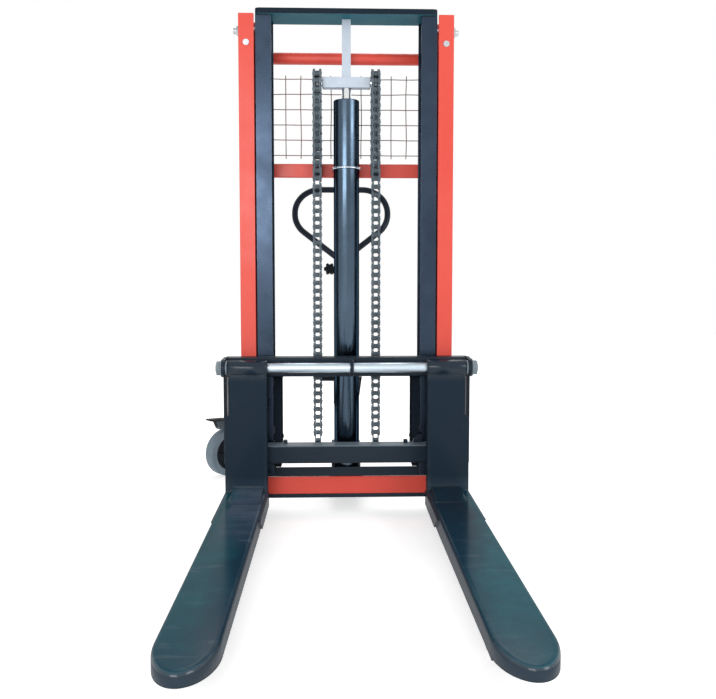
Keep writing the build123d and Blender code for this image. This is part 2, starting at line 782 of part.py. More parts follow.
# Forks: a shank with an eye on the shaft, and a round-nosed blade that is open underneath
for side, hand in sides:
    middle = side * fork_x
    with BuildPart() as fork:
        heel_low = fork_top - fork_heel_depth
        nose_back = fork_tip + fork_nose_run
        with BuildSketch(Plane.YZ.offset(middle - fork_width / 2)):
            with BuildLine():
                Polyline(
                    (shank_back, heel_low),
                    (shank_front - heel_sleeve_length, heel_low),
                    (nose_back, fork_top - fork_nose_depth),
                    (fork_tip, fork_top - fork_tip_depth),
                    (fork_tip, fork_top),
                    (shank_back, fork_top),
                    close=True,
                )
            make_face()
        extrude(amount=fork_width)
        with BuildSketch():
            with Locations((middle, nose_back)):
                Ellipse(fork_width / 2, fork_nose_run)
            with Locations((middle, (nose_back + shank_back) / 2)):
                Rectangle(fork_width, shank_back - nose_back)
        extrude(amount=fork_top, mode=Mode.INTERSECT)
        rim = fork.faces().sort_by(Axis.Z)[-1].edges().sort_by(Axis.Y)[:-1]
        fillet(rim, fork_edge)
        # shank with rounded corners, set inwards on the blade
        shank_middle = side * shank_x
        with BuildSketch(Plane.XY.offset(heel_low)):
            with Locations((shank_middle, (shank_back + shank_front) / 2)):
                RectangleRounded(shank_width, shank_depth, shank_edge)
        extrude(amount=shank_top - heel_low)
        # plate up the outer side of the shank, and a wedge in the heel's corner
        with BuildSketch(Plane.XZ.offset(-shank_back)):
            with BuildLine():
                shank_out = side * (shank_x + shank_width / 2 - shank_edge)
                blade_out = side * (fork_x + fork_width / 2)
                Polyline(
                    (shank_out, heel_low),
                    (blade_out, heel_low),
                    (blade_out, shank_plate_top - shank_plate_slope),
                    (shank_out, shank_plate_top),
                    close=True,
                )
            make_face()
        extrude(amount=shank_depth)
        with BuildSketch(Plane.YZ.offset(shank_middle - heel_wedge_width / 2)):
            with BuildLine():
                wedge_end = shank_front - heel_wedge_length
                wedge_low = fork_top - fork_edge
                Polyline(
                    (shank_front, wedge_low),
                    (shank_front, fork_top + heel_wedge_height),
                    (wedge_end, fork_top),
                    (wedge_end, wedge_low),
                    close=True,
                )
            make_face()
        extrude(amount=heel_wedge_width)
        # stiffening plates on both sides of the heel, cut back at the foot
        for start in (middle - fork_width / 2 - heel_sleeve_wall, middle + fork_width / 2):
            with BuildSketch(Plane.YZ.offset(start)):
                with BuildLine():
                    Polyline(
                        (shank_back, heel_low),
                        (shank_front - heel_sleeve_foot, heel_low),
                        (shank_front - heel_sleeve_length, fork_top - fork_edge),
                        (shank_back, fork_top - fork_edge),
                        close=True,
                    )
                make_face()
            extrude(amount=heel_sleeve_wall)
        half_inside = fork_width / 2 - fork_wall
        block(
            middle - half_inside, middle + half_inside,
            fork_tip + fork_nose_block, shank_front - fork_heel_block,
            0, fork_top - fork_wall, Mode.SUBTRACT,
        )
        bore = shaft_diameter + 4 * running_gap
        eye_ends = (shank_middle - eye_length / 2, shank_middle + eye_length / 2)
        round_bar(eye_diameter, *eye_ends, shaft_y, shaft_z)
        round_bar(bore, *eye_ends, shaft_y, shaft_z, Mode.SUBTRACT)
    save(fork, f"fork_{hand}")

# Arms from the posts to the casters, each ending in a swivel housing
with BuildPart() as caster_arms:
    for side, hand in sides:
        with BuildSketch(Plane.XY.offset(arm_low)):
            half = arm_width / 2
            root = side * outer_post_x
            end = side * caster_x
            Polygon(
                (root - half, post_rear_y), (root + half, post_rear_y),
                (end + half, caster_y), (end - half, caster_y), align=None,
            )
            with Locations((end, caster_y)):
                Circle(bearing_diameter / 2)
        extrude(amount=arm_height)
        with Locations((side * caster_x, caster_y, arm_low + arm_height / 2)):
            Cylinder(kingpin_diameter / 2 + running_gap, arm_height, mode=Mode.SUBTRACT)
save(caster_arms, "caster_arms")

# Casters: the trail direction is the local X axis of each caster's plane
trail = Vector(cos(radians(caster_turn)), sin(radians(caster_turn)), 0)
across = Vector(-trail.Y, trail.X, 0)
for side, hand in sides:
    swivel = Vector(side * caster_x, caster_y, 0)
    hub = swivel + trail * caster_trail + Vector(0, 0, wheel_radius)
    upright = Plane(origin=swivel, x_dir=trail, z_dir=-across)
    flat_plane = Plane(origin=swivel, x_dir=trail, z_dir=(0, 0, 1))
    wheel_plane = Plane(origin=hub, x_dir=trail, z_dir=-across)
    pedal_z = yoke_crown_top + pedal_pivot_rise

    with BuildPart() as caster_yoke:
        # cheeks on both sides of the wheel
        for cheek in (yoke_inside, -yoke_inside - yoke_plate):
            with BuildSketch(upright.offset(cheek)):
                with BuildLine():
                    Polyline(
                        (-yoke_crown_half, yoke_crown_top),
                        (yoke_crown_half + caster_trail / 2, yoke_crown_top),
                        (caster_trail + yoke_eye_radius, wheel_radius),
                        (caster_trail - yoke_eye_radius, wheel_radius),
                        (-yoke_crown_half, yoke_crown_low),
                        close=True,
                    )
                make_face()
                with Locations((caster_trail, wheel_radius)):
                    Circle(yoke_eye_radius)
                    Circle(axle_diameter / 2 + running_gap, mode=Mode.SUBTRACT)
            extrude(amount=yoke_plate)
        # crown plate, bearing and kingpin
        with BuildSketch(flat_plane.offset(yoke_crown_low)):
            with Locations((caster_trail / 4, 0)):
                Rectangle(2 * yoke_crown_half + caster_trail / 2, 2 * yoke_inside)
        extrude(amount=yoke_crown_thickness)
        with BuildSketch(flat_plane.offset(yoke_crown_top)):
            Circle(bearing_diameter / 2)
        extrude(amount=arm_low - slide_gap - yoke_crown_top)
        with BuildSketch(flat_plane.offset(yoke_crown_top)):
            Circle(kingpin_diameter / 2)
        extrude(amount=arm_top + slide_gap + kingpin_nut_length - yoke_crown_top)
        with BuildSketch(flat_plane.offset(arm_top + slide_gap)):
            RegularPolygon(kingpin_nut_flats / 2, 6, major_radius=False)
        extrude(amount=kingpin_nut_length)
        # ears and pin for the brake pedal
        for ear in (pedal_knuckle_width / 2 + slide_gap, -pedal_knuckle_width / 2 - slide_gap - pedal_ear):
            with BuildSketch(upright.offset(ear)):
                with Locations((pedal_pivot_run, pedal_z)):
                    Circle(pedal_knuckle_diameter / 2)
                with Locations((pedal_pivot_run, (pedal_z + yoke_crown_top) / 2)):
                    Rectangle(pedal_knuckle_diameter, pedal_z - yoke_crown_top)
            extrude(amount=pedal_ear)
        with BuildSketch(upright.offset(-pedal_knuckle_width / 2 - slide_gap)):
            with Locations((pedal_pivot_run, pedal_z)):
                Circle(pedal_pin_diameter / 2)
        extrude(amount=pedal_knuckle_width + 2 * slide_gap)
        # wheel axle, a separate bolt through both cheeks
        with BuildSketch(wheel_plane.offset(-yoke_inside - 2 * yoke_plate)):
            Circle(axle_diameter / 2)
        extrude(amount=2 * yoke_inside + 4 * yoke_plate)
    save(caster_yoke, f"caster_yoke_{hand}")

    with BuildPart() as caster_wheel:
        with BuildSketch(wheel_plane.offset(-wheel_width / 2)):
            Circle(wheel_radius - tyre_thickness)
        extrude(amount=wheel_width)
        for face in (-wheel_width / 2, wheel_width / 2 - hub_recess):
            with BuildSketch(wheel_plane.offset(face)):
                Circle(wheel_radius - tyre_thickness - hub_recess)
                Circle(hub_boss_diameter / 2, mode=Mode.SUBTRACT)
            extrude(amount=hub_recess, mode=Mode.SUBTRACT)
        with BuildSketch(wheel_plane.offset(-wheel_width / 2)):
            Circle(axle_diameter / 2 + running_gap)
        extrude(amount=wheel_width, mode=Mode.SUBTRACT)
    save(caster_wheel, f"caster_wheel_{hand}")

    with BuildPart() as caster_tyre:
        with BuildSketch(wheel_plane.offset(-wheel_width / 2)):
            Circle(wheel_radius)
            Circle(wheel_radius - tyre_thickness, mode=Mode.SUBTRACT)
        extrude(amount=wheel_width)
        rims = caster_tyre.edges().filter_by(GeomType.CIRCLE).sort_by(SortBy.RADIUS)[-2:]
        chamfer(rims, tyre_edge / 2)
    save(caster_tyre, f"caster_tyre_{hand}")

    with BuildPart() as brake_pedal:
        with BuildSketch(upright.offset(-pedal_knuckle_width / 2)):
            with Locations((pedal_pivot_run, pedal_z)):
                Circle(pedal_knuckle_diameter / 2)
        extrude(amount=pedal_knuckle_width)
        with BuildSketch(upright.offset(-pedal_width / 2)):
            with BuildLine():
                root = pedal_pivot_run + pedal_knuckle_diameter / 4
                rise = pedal_z + pedal_rise
                Polyline(
                    (root, pedal_z), (root + pedal_rise, pedal_z), (pedal_reach, rise),
                    (pedal_reach, rise + pedal_thickness), (root + pedal_rise, pedal_z + pedal_thickness),
                    (root, pedal_z + pedal_thickness), close=True,
                )
            make_face()
        extrude(amount=pedal_width)
        with BuildSketch(upright.offset(-pedal_width)):
            with Locations((pedal_pivot_run, pedal_z)):
                Circle(pedal_pin_diameter / 2 + running_gap)
        extrude(amount=2 * pedal_width, mode=Mode.SUBTRACT)
        # the plate is cut back beside the knuckle, clear of the ears
        for ear in (pedal_knuckle_width / 2, -pedal_width):
            with BuildSketch(upright.offset(ear)):
                with Locations((pedal_pivot_run, pedal_z)):
                    Circle(pedal_knuckle_diameter / 2 + 2 * slide_gap)
            extrude(amount=pedal_width - pedal_knuckle_width / 2, mode=Mode.SUBTRACT)
    save(brake_pedal, f"brake_pedal_{hand}")

# Pump housing on the base plate: block, body, plunger barrel, cheeks for the tiller and the tiller pin
with BuildPart() as pump_housing:
    for width, middle, top in ((pump_block_width, 0, pump_block_top), (pump_width, pump_x, pump_top)):
        with BuildSketch(Plane.XY.offset(base_plate_top)):
            with Locations((middle, pump_y)):
                RectangleRounded(width, pump_length, pump_corner)
        extrude(amount=top - base_plate_top)
    with BuildSketch(Plane.XY.offset(base_plate_top)):
        with Locations((tiller_x, barrel_y)):
            Circle(barrel_radius)
    extrude(amount=barrel_top - base_plate_top)
    with BuildSketch(Plane.XY.offset(barrel_top)):
        with Locations((tiller_x, barrel_y)):
            Circle(plunger_diameter / 2 + running_gap)
    extrude(amount=-barrel_depth, mode=Mode.SUBTRACT)
    for start in (cheek_inside, -cheek_inside - cheek_thickness):
        with BuildSketch(Plane.YZ.offset(tiller_x + start)):
            with Locations((pivot_y, pivot_z)):
                Circle(cheek_radius)
            with Locations((pivot_y, (pivot_z + pump_top) / 2)):
                Rectangle(2 * cheek_radius, pivot_z - pump_top)
            with Locations((pivot_y, pivot_z)):
                Circle(pivot_pin_diameter / 2 + running_gap, mode=Mode.SUBTRACT)
        extrude(amount=cheek_thickness)
    # lowering lever on the right, outside the cheek
    cheek_out = tiller_x + cheek_inside + cheek_thickness
    with BuildSketch(Plane.XZ.offset(-pivot_y - pivot_pin_diameter)):
        with BuildLine():
            Polyline(
                (cheek_out, pump_top), (tiller_x + lever_foot_out, pump_top),
                (tiller_x + lever_top_out, pivot_z), (cheek_out, pivot_z), close=True,
            )
        make_face()
    extrude(amount=lever_thickness / 2, both=True)
    # tiller pin, with a sleeve on its left end
    pin_end = cheek_inside + cheek_thickness + pivot_pin_overhang
    round_bar(pivot_pin_diameter, tiller_x - pin_end, tiller_x + pin_end, pivot_y, pivot_z)
    sleeve_end = tiller_x - cheek_inside - cheek_thickness
    round_bar(pivot_sleeve_diameter, sleeve_end - pivot_sleeve_length, sleeve_end, pivot_y, pivot_z)
save(pump_housing, "pump_housing")

# Pump plunger under the tiller's short arm
with BuildPart() as pump_plunger:
    with BuildSketch(Plane.XY.offset(plunger_top)):
        with Locations((tiller_x, barrel_y)):
            Circle(plunger_head_diameter / 2)
    extrude(amount=-plunger_head)
    with BuildSketch(Plane.XY.offset(plunger_top)):
        with Locations((tiller_x, barrel_y)):
            Circle(plunger_diameter / 2)
    extrude(amount=-plunger_length)
save(pump_plunger, "pump_plunger")

# Tiller: pivot hub, short arm over the plunger, leaning stem and loop grip
lean_up = Vector(0, sin(radians(tiller_lean)), cos(radians(tiller_lean)))
lean_out = Vector(0, -cos(radians(tiller_lean)), sin(radians(tiller_lean)))
pivot = Vector(tiller_x, pivot_y, pivot_z)
stem_base = Plane(origin=pivot, x_dir=(1, 0, 0), z_dir=lean_up)
loop_plane = Plane(origin=pivot + lean_up * stem_length, x_dir=(1, 0, 0), z_dir=lean_out)
knob_plane = Plane(origin=pivot + lean_up * knob_rise, x_dir=(1, 0, 0), z_dir=lean_out)

with BuildPart() as tiller_handle:
    with BuildSketch(stem_base):
        Circle(stem_diameter / 2)
    extrude(amount=stem_length)
    with BuildSketch(Plane.YZ.offset(tiller_x - plunger_arm_width / 2)):
        with Locations((pivot_y + plunger_arm, pivot_z)):
            Circle(plunger_arm_radius)
        with Locations((pivot_y + plunger_arm / 2, pivot_z)):
            Rectangle(plunger_arm, 2 * plunger_arm_radius)
    extrude(amount=plunger_arm_width)
    hub_ends = (tiller_x - pivot_hub_width / 2, tiller_x + pivot_hub_width / 2)
    round_bar(2 * pivot_hub_radius, *hub_ends, pivot_y, pivot_z)
    with BuildSketch(knob_plane.offset(-knob_bracket_thickness / 2)):
        with Locations((-knob_reach / 2, 0)):
            Rectangle(knob_reach, knob_bracket_height)
        with Locations((-knob_reach, 0)):
            Circle(knob_bracket_height / 2)
    extrude(amount=knob_bracket_thickness)
    with BuildLine(loop_plane) as loop_path:
        FilletPolyline(
            (0, 0), (-loop_half_width, loop_shoulder_rise), (-loop_half_width, loop_height),
            (loop_half_width, loop_height), (loop_half_width, loop_shoulder_rise),
            radius=(loop_neck_radius, loop_side_radius, loop_shoulder_radius,
                    loop_shoulder_radius, loop_side_radius),
            close=True,
        )
    loop_wire = loop_path.wire()
    with BuildSketch(Plane(origin=loop_wire @ 0, z_dir=loop_wire % 0)):
        Circle(loop_tube / 2)
    sweep(path=loop_wire)
    hole = pivot_pin_diameter + 2 * running_gap
    round_bar(hole, *hub_ends, pivot_y, pivot_z, Mode.SUBTRACT)
    with BuildSketch(knob_plane.offset(-knob_bracket_thickness)):
        with Locations((-knob_reach, 0)):
            Circle(knob_pin_diameter / 2 + running_gap)
    extrude(amount=2 * knob_bracket_thickness, mode=Mode.SUBTRACT)
save(tiller_handle, "tiller_handle")

# Lobed knob that turns in the bracket beside the stem
with BuildPart() as release_knob:
    front = knob_bracket_thickness / 2 + seat_gap
    with BuildSketch(knob_plane.offset(front)):
        with Locations((-knob_reach, 0)):
            Circle(knob_radius)
            with PolarLocations(knob_radius, knob_lobes):
                Circle(knob_lobe_radius)
    extrude(amount=knob_thickness)
    with BuildSketch(knob_plane.offset(front)):
        with Locations((-knob_reach, 0)):
            Circle(knob_pin_diameter / 2)
    extrude(amount=-2 * front - seat_gap)
    with BuildSketch(knob_plane.offset(-front)):
        with Locations((-knob_reach, 0)):
            Circle(knob_pin_diameter)
    extrude(amount=-knob_bracket_thickness / 2)
save(release_knob, "release_knob")
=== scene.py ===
import bpy
import bmesh
import json
import math
import random
from mathutils import Matrix, Vector


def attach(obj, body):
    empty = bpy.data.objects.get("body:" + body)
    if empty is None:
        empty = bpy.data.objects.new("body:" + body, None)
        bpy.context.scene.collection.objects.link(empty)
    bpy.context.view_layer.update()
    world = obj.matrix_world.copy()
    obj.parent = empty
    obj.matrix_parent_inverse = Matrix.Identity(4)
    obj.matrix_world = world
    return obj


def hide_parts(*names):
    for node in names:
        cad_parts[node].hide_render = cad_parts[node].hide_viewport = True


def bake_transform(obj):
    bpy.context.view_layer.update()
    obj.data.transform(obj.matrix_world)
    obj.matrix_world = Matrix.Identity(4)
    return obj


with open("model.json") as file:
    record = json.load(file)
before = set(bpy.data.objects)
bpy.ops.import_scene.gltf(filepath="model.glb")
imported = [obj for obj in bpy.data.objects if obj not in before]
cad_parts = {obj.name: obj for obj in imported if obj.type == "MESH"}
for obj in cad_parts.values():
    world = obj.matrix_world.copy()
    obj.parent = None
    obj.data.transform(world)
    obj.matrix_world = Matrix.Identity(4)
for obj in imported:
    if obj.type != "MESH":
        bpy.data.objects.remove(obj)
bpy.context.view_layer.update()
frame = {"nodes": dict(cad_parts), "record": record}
cadNodes = frame["nodes"]
mast = {"x": 0.0334, "y": 0.3354}  # middle of the mast in this frame
print("frame loaded:", len(cadNodes), "nodes")

finishes = {}  # every finish by its name


class Finish:
    # one node material, with short calls for the nodes it needs
    def __init__(self, name, color, roughness, metallic=0.0):
        self.mat = bpy.data.materials.new(name)
        self.mat.use_nodes = True
        self.mat.diffuse_color = (*color, 1)
        self.tree = self.mat.node_tree
        self.shader = self.tree.nodes["Principled BSDF"]
        self.level("Base Color", (*color, 1))
        self.level("Roughness", roughness)
        self.level("Metallic", metallic)
        self.coords = self.node("ShaderNodeTexCoord").outputs["Object"]
        finishes[name] = self.mat

    def level(self, socket, value):
        self.shader.inputs[socket].default_value = value

    def node(self, kind, **values):
        made = self.tree.nodes.new(kind)
        for key, value in values.items():
            setattr(made, key, value)
        return made

    def link(self, source, target):
        self.tree.links.new(source, target)

    def scaled(self, scale):
        mapping = self.node("ShaderNodeMapping")
        mapping.inputs["Scale"].default_value = scale
        self.link(self.coords, mapping.inputs["Vector"])
        return mapping.outputs["Vector"]

    def noise(self, scale, detail=4, rough=0.55, stretch=None):
        tex = self.node("ShaderNodeTexNoise")
        tex.inputs["Scale"].default_value = scale
        tex.inputs["Detail"].default_value = detail
        tex.inputs["Roughness"].default_value = rough
        self.link(self.scaled(stretch) if stretch else self.coords, tex.inputs["Vector"])
        return tex.outputs["Fac"]

    def cells(self, scale):
        tex = self.node("ShaderNodeTexVoronoi")
        tex.inputs["Scale"].default_value = scale
        self.link(self.coords, tex.inputs["Vector"])
        return tex.outputs["Distance"]

    def ramp(self, source, low, high, start=0.0, end=1.0):
        span = self.node("ShaderNodeMapRange")
        for key, value in zip(("From Min", "From Max", "To Min", "To Max"), (low, high, start, end)):
            span.inputs[key].default_value = value
        self.link(source, span.inputs["Value"])
        return span.outputs["Result"]

    def cloud(self, grain, span):
        # noise, spread over a span
        return self.ramp(self.noise(*grain), *span)

    def math(self, how, a, b):
        made = self.node("ShaderNodeMath", operation=how)
        for value, place in ((a, made.inputs[0]), (b, made.inputs[1])):
            if isinstance(value, (int, float)):
                place.default_value = value
            else:
                self.link(value, place)
        return made.outputs[0]

    def times(self, product, *others):
        for other in others:
            product = self.math("MULTIPLY", product, other)
        return product

    def mix(self, share, a, b):
        made = self.node("ShaderNodeMix", data_type="RGBA")
        self.link(share, made.inputs["Factor"])
        sockets = [socket for socket in made.inputs if socket.type == "RGBA"]
        for value, place in zip((a, b), sockets):
            if isinstance(value, tuple):
                place.default_value = (*value, 1)
            else:
                self.link(value, place)
        return [socket for socket in made.outputs if socket.type == "RGBA"][0]

    def parts(self, source):
        # the x, y and z of a vector
        split = self.node("ShaderNodeSeparateXYZ")
        self.link(source, split.inputs[0])
        return split.outputs

    def slope(self):
        # 1 on faces that look up, -1 on faces that look down
        return self.parts(self.node("ShaderNodeNewGeometry").outputs["Normal"])["Z"]

    def edge(self, radius, flat=0.995, sharp=0.9):
        # 1 along sharp edges, 0 on flat faces
        bevel = self.node("ShaderNodeBevel", samples=4)
        bevel.inputs["Radius"].default_value = radius
        dot = self.node("ShaderNodeVectorMath", operation="DOT_PRODUCT")
        self.link(bevel.outputs["Normal"], dot.inputs[0])
        self.link(self.node("ShaderNodeNewGeometry").outputs["Normal"], dot.inputs[1])
        return self.ramp(dot.outputs["Value"], flat, sharp)

    def color(self, source):
        self.link(source, self.shader.inputs["Base Color"])

    def haze(self, grain, span, middle, reach):
        # roughness that wanders about its middle
        low, high = (middle + shift for shift in reach)
        self.link(self.cloud(grain, (*span, low, high)), self.shader.inputs["Roughness"])

    def bump(self, source, strength, distance):
        made = self.node("ShaderNodeBump")
        made.inputs["Strength"].default_value = strength
        made.inputs["Distance"].default_value = distance
        self.link(source, made.inputs["Height"])
        normal = self.shader.inputs["Normal"]
        if normal.is_linked:
            self.link(normal.links[0].from_socket, made.inputs["Normal"])
        self.link(made.outputs["Normal"], normal)


# noise is scale, detail, roughness and stretch; a pair is noise and the span that it is spread over
enamel = {"drift": ((2.6, 3), (0.3, 0.7)), "edge": 0.0026, "patch": ((34, 6, 0.7), (0.42, 0.62)),
          "haze": ((11, 4), (0.35, 0.7)), "hazeReach": (-0.05, 0.1), "peel": (420, 2),
          "peelRelief": (0.06, 0.0004)}


def paint(name, color, shade, roughness, rubAndHighlight, rubAndHighlightColor, gloss=(0.5, 0.0, 0.2), slopeLight=None, rim=None):
    # sprayed enamel: slow drift of tone, orange peel and rubbed edges; on the dark paints the lighter edges
    # are also a painted edge highlight
    finish = Finish(name, color, roughness)
    tone = finish.mix(finish.cloud(*enamel["drift"]), color, shade)
    if slopeLight:  # another tone on faces that look up, from one slope to another: painted light
        start, end, slopeColor = slopeLight
        tone = finish.mix(finish.ramp(finish.slope(), start, end), tone, slopeColor)
    # edges in the rub colour: wear, and on the dark paints a painted edge highlight
    rubAndHighlightEdges = finish.times(finish.edge(enamel["edge"]), finish.cloud(*enamel["patch"]), rubAndHighlight)
    finish.color(finish.mix(rubAndHighlightEdges, tone, rubAndHighlightColor))
    finish.haze(*enamel["haze"], roughness, enamel["hazeReach"])
    finish.bump(finish.noise(*enamel["peel"]), *enamel["peelRelief"])
    for socket, value in zip(("Specular IOR Level", "Coat Weight", "Coat Roughness"), gloss):
        finish.level(socket, value)
    if rim is not None:  # deep gloss, kept dark where a round face turns away
        finish.level("Metallic", 1.0)
        finish.level("Specular Tint", (rim, rim, rim, 1))


blade = {  # a span of four also gives the two values that it runs between
    "roughness": 0.45, "haze": ((13, 5, 0.6), (0.35, 0.7)), "hazeReach": (-0.05, 0.11),
    "drift": (2.6, 3), "driftByX": (-0.1, 0.1, -0.14, 0.1), "driftSpan": (0.3, 0.7),
    "wander": ((5, 4), (0.3, 0.7, -0.02, 0.02)), "rightX": (-0.1, 0.1), "outerX": (0.25, 0.31),
    "leanByY": (-0.6, -0.2, 0.0, -0.03), "rightLeanByY": (-0.6, 0.0, 0.022, -0.06),
    "sheenMottle": ((15, 7, 0.68), (0.34, 0.66, 1.0, 0.5)), "mottleByY": (-0.87, -0.6, 0.55, 1.0),
    "lowZ": (0.16, 0.13), "topSlope": (0.4, 0.8), "heelY": (-0.32, 0.0), "heelX": (0.362, 0.335),
    "heel": ((9, 5, 0.65, (1, 2, 1)), (0.32, 0.6, 0.35, 1.0)),
    # lighter rubbed edges: wear and a painted edge highlight
    "edge": 0.003, "patch": ((30, 6, 0.7), (0.38, 0.6)), "rubAndHighlight": 0.45, "rubAndHighlightColor": (0.2, 0.24, 0.27),
    "streak": ((16, 6, 0.7, (0.5, 2.2, 1)), (0.54, 0.7)), "broken": ((7, 4, 0.6), (0.47, 0.62)),
    "streakByTop": (0.0, 1.0, 0.04, 0.4), "streakColor": (0.15, 0.19, 0.22),
    "rounding": 0.013, "specular": 0.0, "coatRoughness": 0.16,
    "coatByLow": (0.0, 1.0, 0.09, 0.26), "coatByZ": (0.45, 0.47, 0.0, 0.45),
    "rimSlope": (0.15, 0.45), "rimTop": (0.98, 0.85), "rimY": (-0.78, -0.86),
}


def bladePaint(name, color, shade, inner, heel, dark, side):
    # fork enamel, dark: on the blade tops a painted teal sheen toward the outer side of each blade, navy
    # toward the inner; grey where loads rub the left heel, painted shade beside the right shank; lighter
    # blade sides, painted light
    finish = Finish(name, color, blade["roughness"])
    x, y, z = finish.parts(finish.coords)
    slope = finish.slope()
    size = finish.node("ShaderNodeMath", operation="ABSOLUTE")
    finish.link(finish.math("SUBTRACT", x, mast["x"]), size.inputs[0])
    across = size.outputs[0]  # from the middle of the mast, to either side
    onRight = finish.ramp(x, *blade["rightX"])
    low = finish.ramp(z, *blade["lowZ"])
    lying = finish.times(finish.ramp(slope, *blade["topSlope"]), low)

    lean = finish.math("ADD", finish.cloud(*blade["wander"]), finish.ramp(y, *blade["leanByY"]))
    lean = finish.math("ADD", lean, finish.times(onRight, finish.ramp(y, *blade["rightLeanByY"])))
    outer = finish.ramp(finish.math("ADD", across, lean), *blade["outerX"])
    # tone of the painted sheen drifts at random, darker on the left blade and lighter on the right
    drift = finish.math("ADD", finish.noise(*blade["drift"]), finish.ramp(x, *blade["driftByX"]))
    tone = finish.mix(finish.ramp(drift, *blade["driftSpan"]), color, shade)
    # painted teal sheen toward the outer side of each blade, navy toward the inner
    sheenMottle = finish.times(outer, finish.cloud(*blade["sheenMottle"]), finish.ramp(y, *blade["mottleByY"]))
    tone = finish.mix(sheenMottle, inner, tone)  # darker at the nose
    near = finish.times(finish.ramp(y, *blade["heelY"]), finish.ramp(across, *blade["heelX"]))
    heelRubAndShade = finish.times(near, finish.cloud(*blade["heel"]))
    tone = finish.mix(heelRubAndShade, tone, finish.mix(onRight, heel, dark))  # left heel rubbed grey; the right heel painted dark, a painted shade beside the shank
    # the painted sheen only on the blade faces that look up; the rest in the fork's dark paint
    tone = finish.mix(lying, dark, tone)
    # the blade's other faces in a lighter tone than the shank: painted light
    tone = finish.mix(finish.math("SUBTRACT", low, lying), tone, side)
    # lighter rubbed edges: wear and a painted edge highlight
    rubAndHighlightEdges = finish.times(finish.edge(blade["edge"]), finish.cloud(*blade["patch"]), blade["rubAndHighlight"])
    tone = finish.mix(rubAndHighlightEdges, tone, blade["rubAndHighlightColor"])
    broken = finish.times(finish.cloud(*blade["broken"]), finish.ramp(lying, *blade["streakByTop"]))
    streak = finish.times(finish.cloud(*blade["streak"]), broken)
    finish.color(finish.mix(streak, tone, blade["streakColor"]))
    finish.haze(*blade["haze"], blade["roughness"], blade["hazeReach"])

    rounding = finish.node("ShaderNodeBevel", samples=8)
    rounding.inputs["Radius"].default_value = blade["rounding"]
    for socket in ("Normal", "Coat Normal"):
        finish.link(rounding.outputs["Normal"], finish.shader.inputs[socket])
    finish.bump(finish.noise(*enamel["peel"]), *enamel["peelRelief"])
    finish.level("Specular IOR Level", blade["specular"])
    finish.level("Coat Roughness", blade["coatRoughness"])
    coat = finish.math("MAXIMUM", finish.ramp(low, *blade["coatByLow"]), finish.ramp(z, *blade["coatByZ"]))
    rim = finish.times(finish.ramp(slope, *blade["rimSlope"]), finish.ramp(slope, *blade["rimTop"]),
                       finish.ramp(y, *blade["rimY"]))
    coat = finish.math("MAXIMUM", coat, rim)  # most on the eye and on the nose's rubbed rim
    finish.link(coat, finish.shader.inputs["Coat Weight"])


steel = {"lines": (26, 3, 0.6), "linesSpan": (0.35, 0.65), "dirt": (38, 6, 0.7), "dirtSpan": (0.55, 0.75),
         "dirtColor": (0.05, 0.045, 0.04), "haze": ((60, 5, 0.65), (0.3, 0.75)), "depth": 0.0003}


def metal(name, color, shade, roughness, grain=(1, 60, 60), grime=0.25, relief=0.08,
          hazeReach=(-0.06, 0.16)):
    # turned or drawn steel: fine lines along one axis, and grime in patches
    finish = Finish(name, color, roughness, 1.0)
    lines = finish.noise(*steel["lines"], grain)
    tone = finish.mix(finish.ramp(lines, *steel["linesSpan"]), color, shade)
    dirt = finish.cloud(steel["dirt"], (*steel["dirtSpan"], 0, grime))
    finish.color(finish.mix(dirt, tone, steel["dirtColor"]))
    finish.haze(*steel["haze"], roughness, hazeReach)
    finish.bump(lines, relief, steel["depth"])


plastic = {"drift": ((18, 4), (0.3, 0.7)), "haze": ((45, 4), (0.3, 0.7)), "hazeReach": (-0.06, 0.1),
           "depth": 0.0004}


def moulded(name, color, shade, roughness, pebble=700, strength=0.12, shine=0.5):
    # moulded plastic or rubber: fine pebble and a faint drift of tone
    finish = Finish(name, color, roughness)
    finish.color(finish.mix(finish.cloud(*plastic["drift"]), color, shade))
    finish.haze(*plastic["haze"], roughness, plastic["hazeReach"])
    finish.bump(finish.cells(pebble), strength, plastic["depth"])
    finish.level("Specular IOR Level", shine)


# paints: two tones, roughness, rubbing of the edges and its colour, which on the dark paints is also a
# painted edge highlight
# gloss is specular, coat and coat roughness
darkTones = ((0.011, 0.019, 0.031), (0.016, 0.027, 0.041))
# colour of the rubbed edges on the dark paints: wear and a painted edge highlight
darkRubAndHighlight = (0.13, 0.15, 0.17)
paint("redPaint", (0.80, 0.097, 0.07), (0.75, 0.076, 0.052), 0.36, 0.55, (0.35, 0.16, 0.12),
      gloss=(0.35, 0.0, 0.2))
paint("blackPaint", *darkTones, 0.4, 0.6, darkRubAndHighlight, gloss=(0.04, 0.2, 0.2))
# lower beam: the faces that look up in a lighter grey, a painted highlight
paint("beamPaint", *darkTones, 0.4, 0.6, darkRubAndHighlight, gloss=(0.04, 0.2, 0.2),
      slopeLight=(0.3, 0.7, (0.15, 0.19, 0.23)))
paint("postPaint", (0.032, 0.047, 0.073), (0.038, 0.055, 0.083), 0.28, 0.6, darkRubAndHighlight,
      gloss=(0.5, 0.0, 0.3), rim=0.3)
paint("plateBlack", (0.012, 0.018, 0.026), (0.016, 0.023, 0.033), 0.6, 0.4, (0.1, 0.11, 0.12),
      gloss=(0.0, 0.0, 0.3))
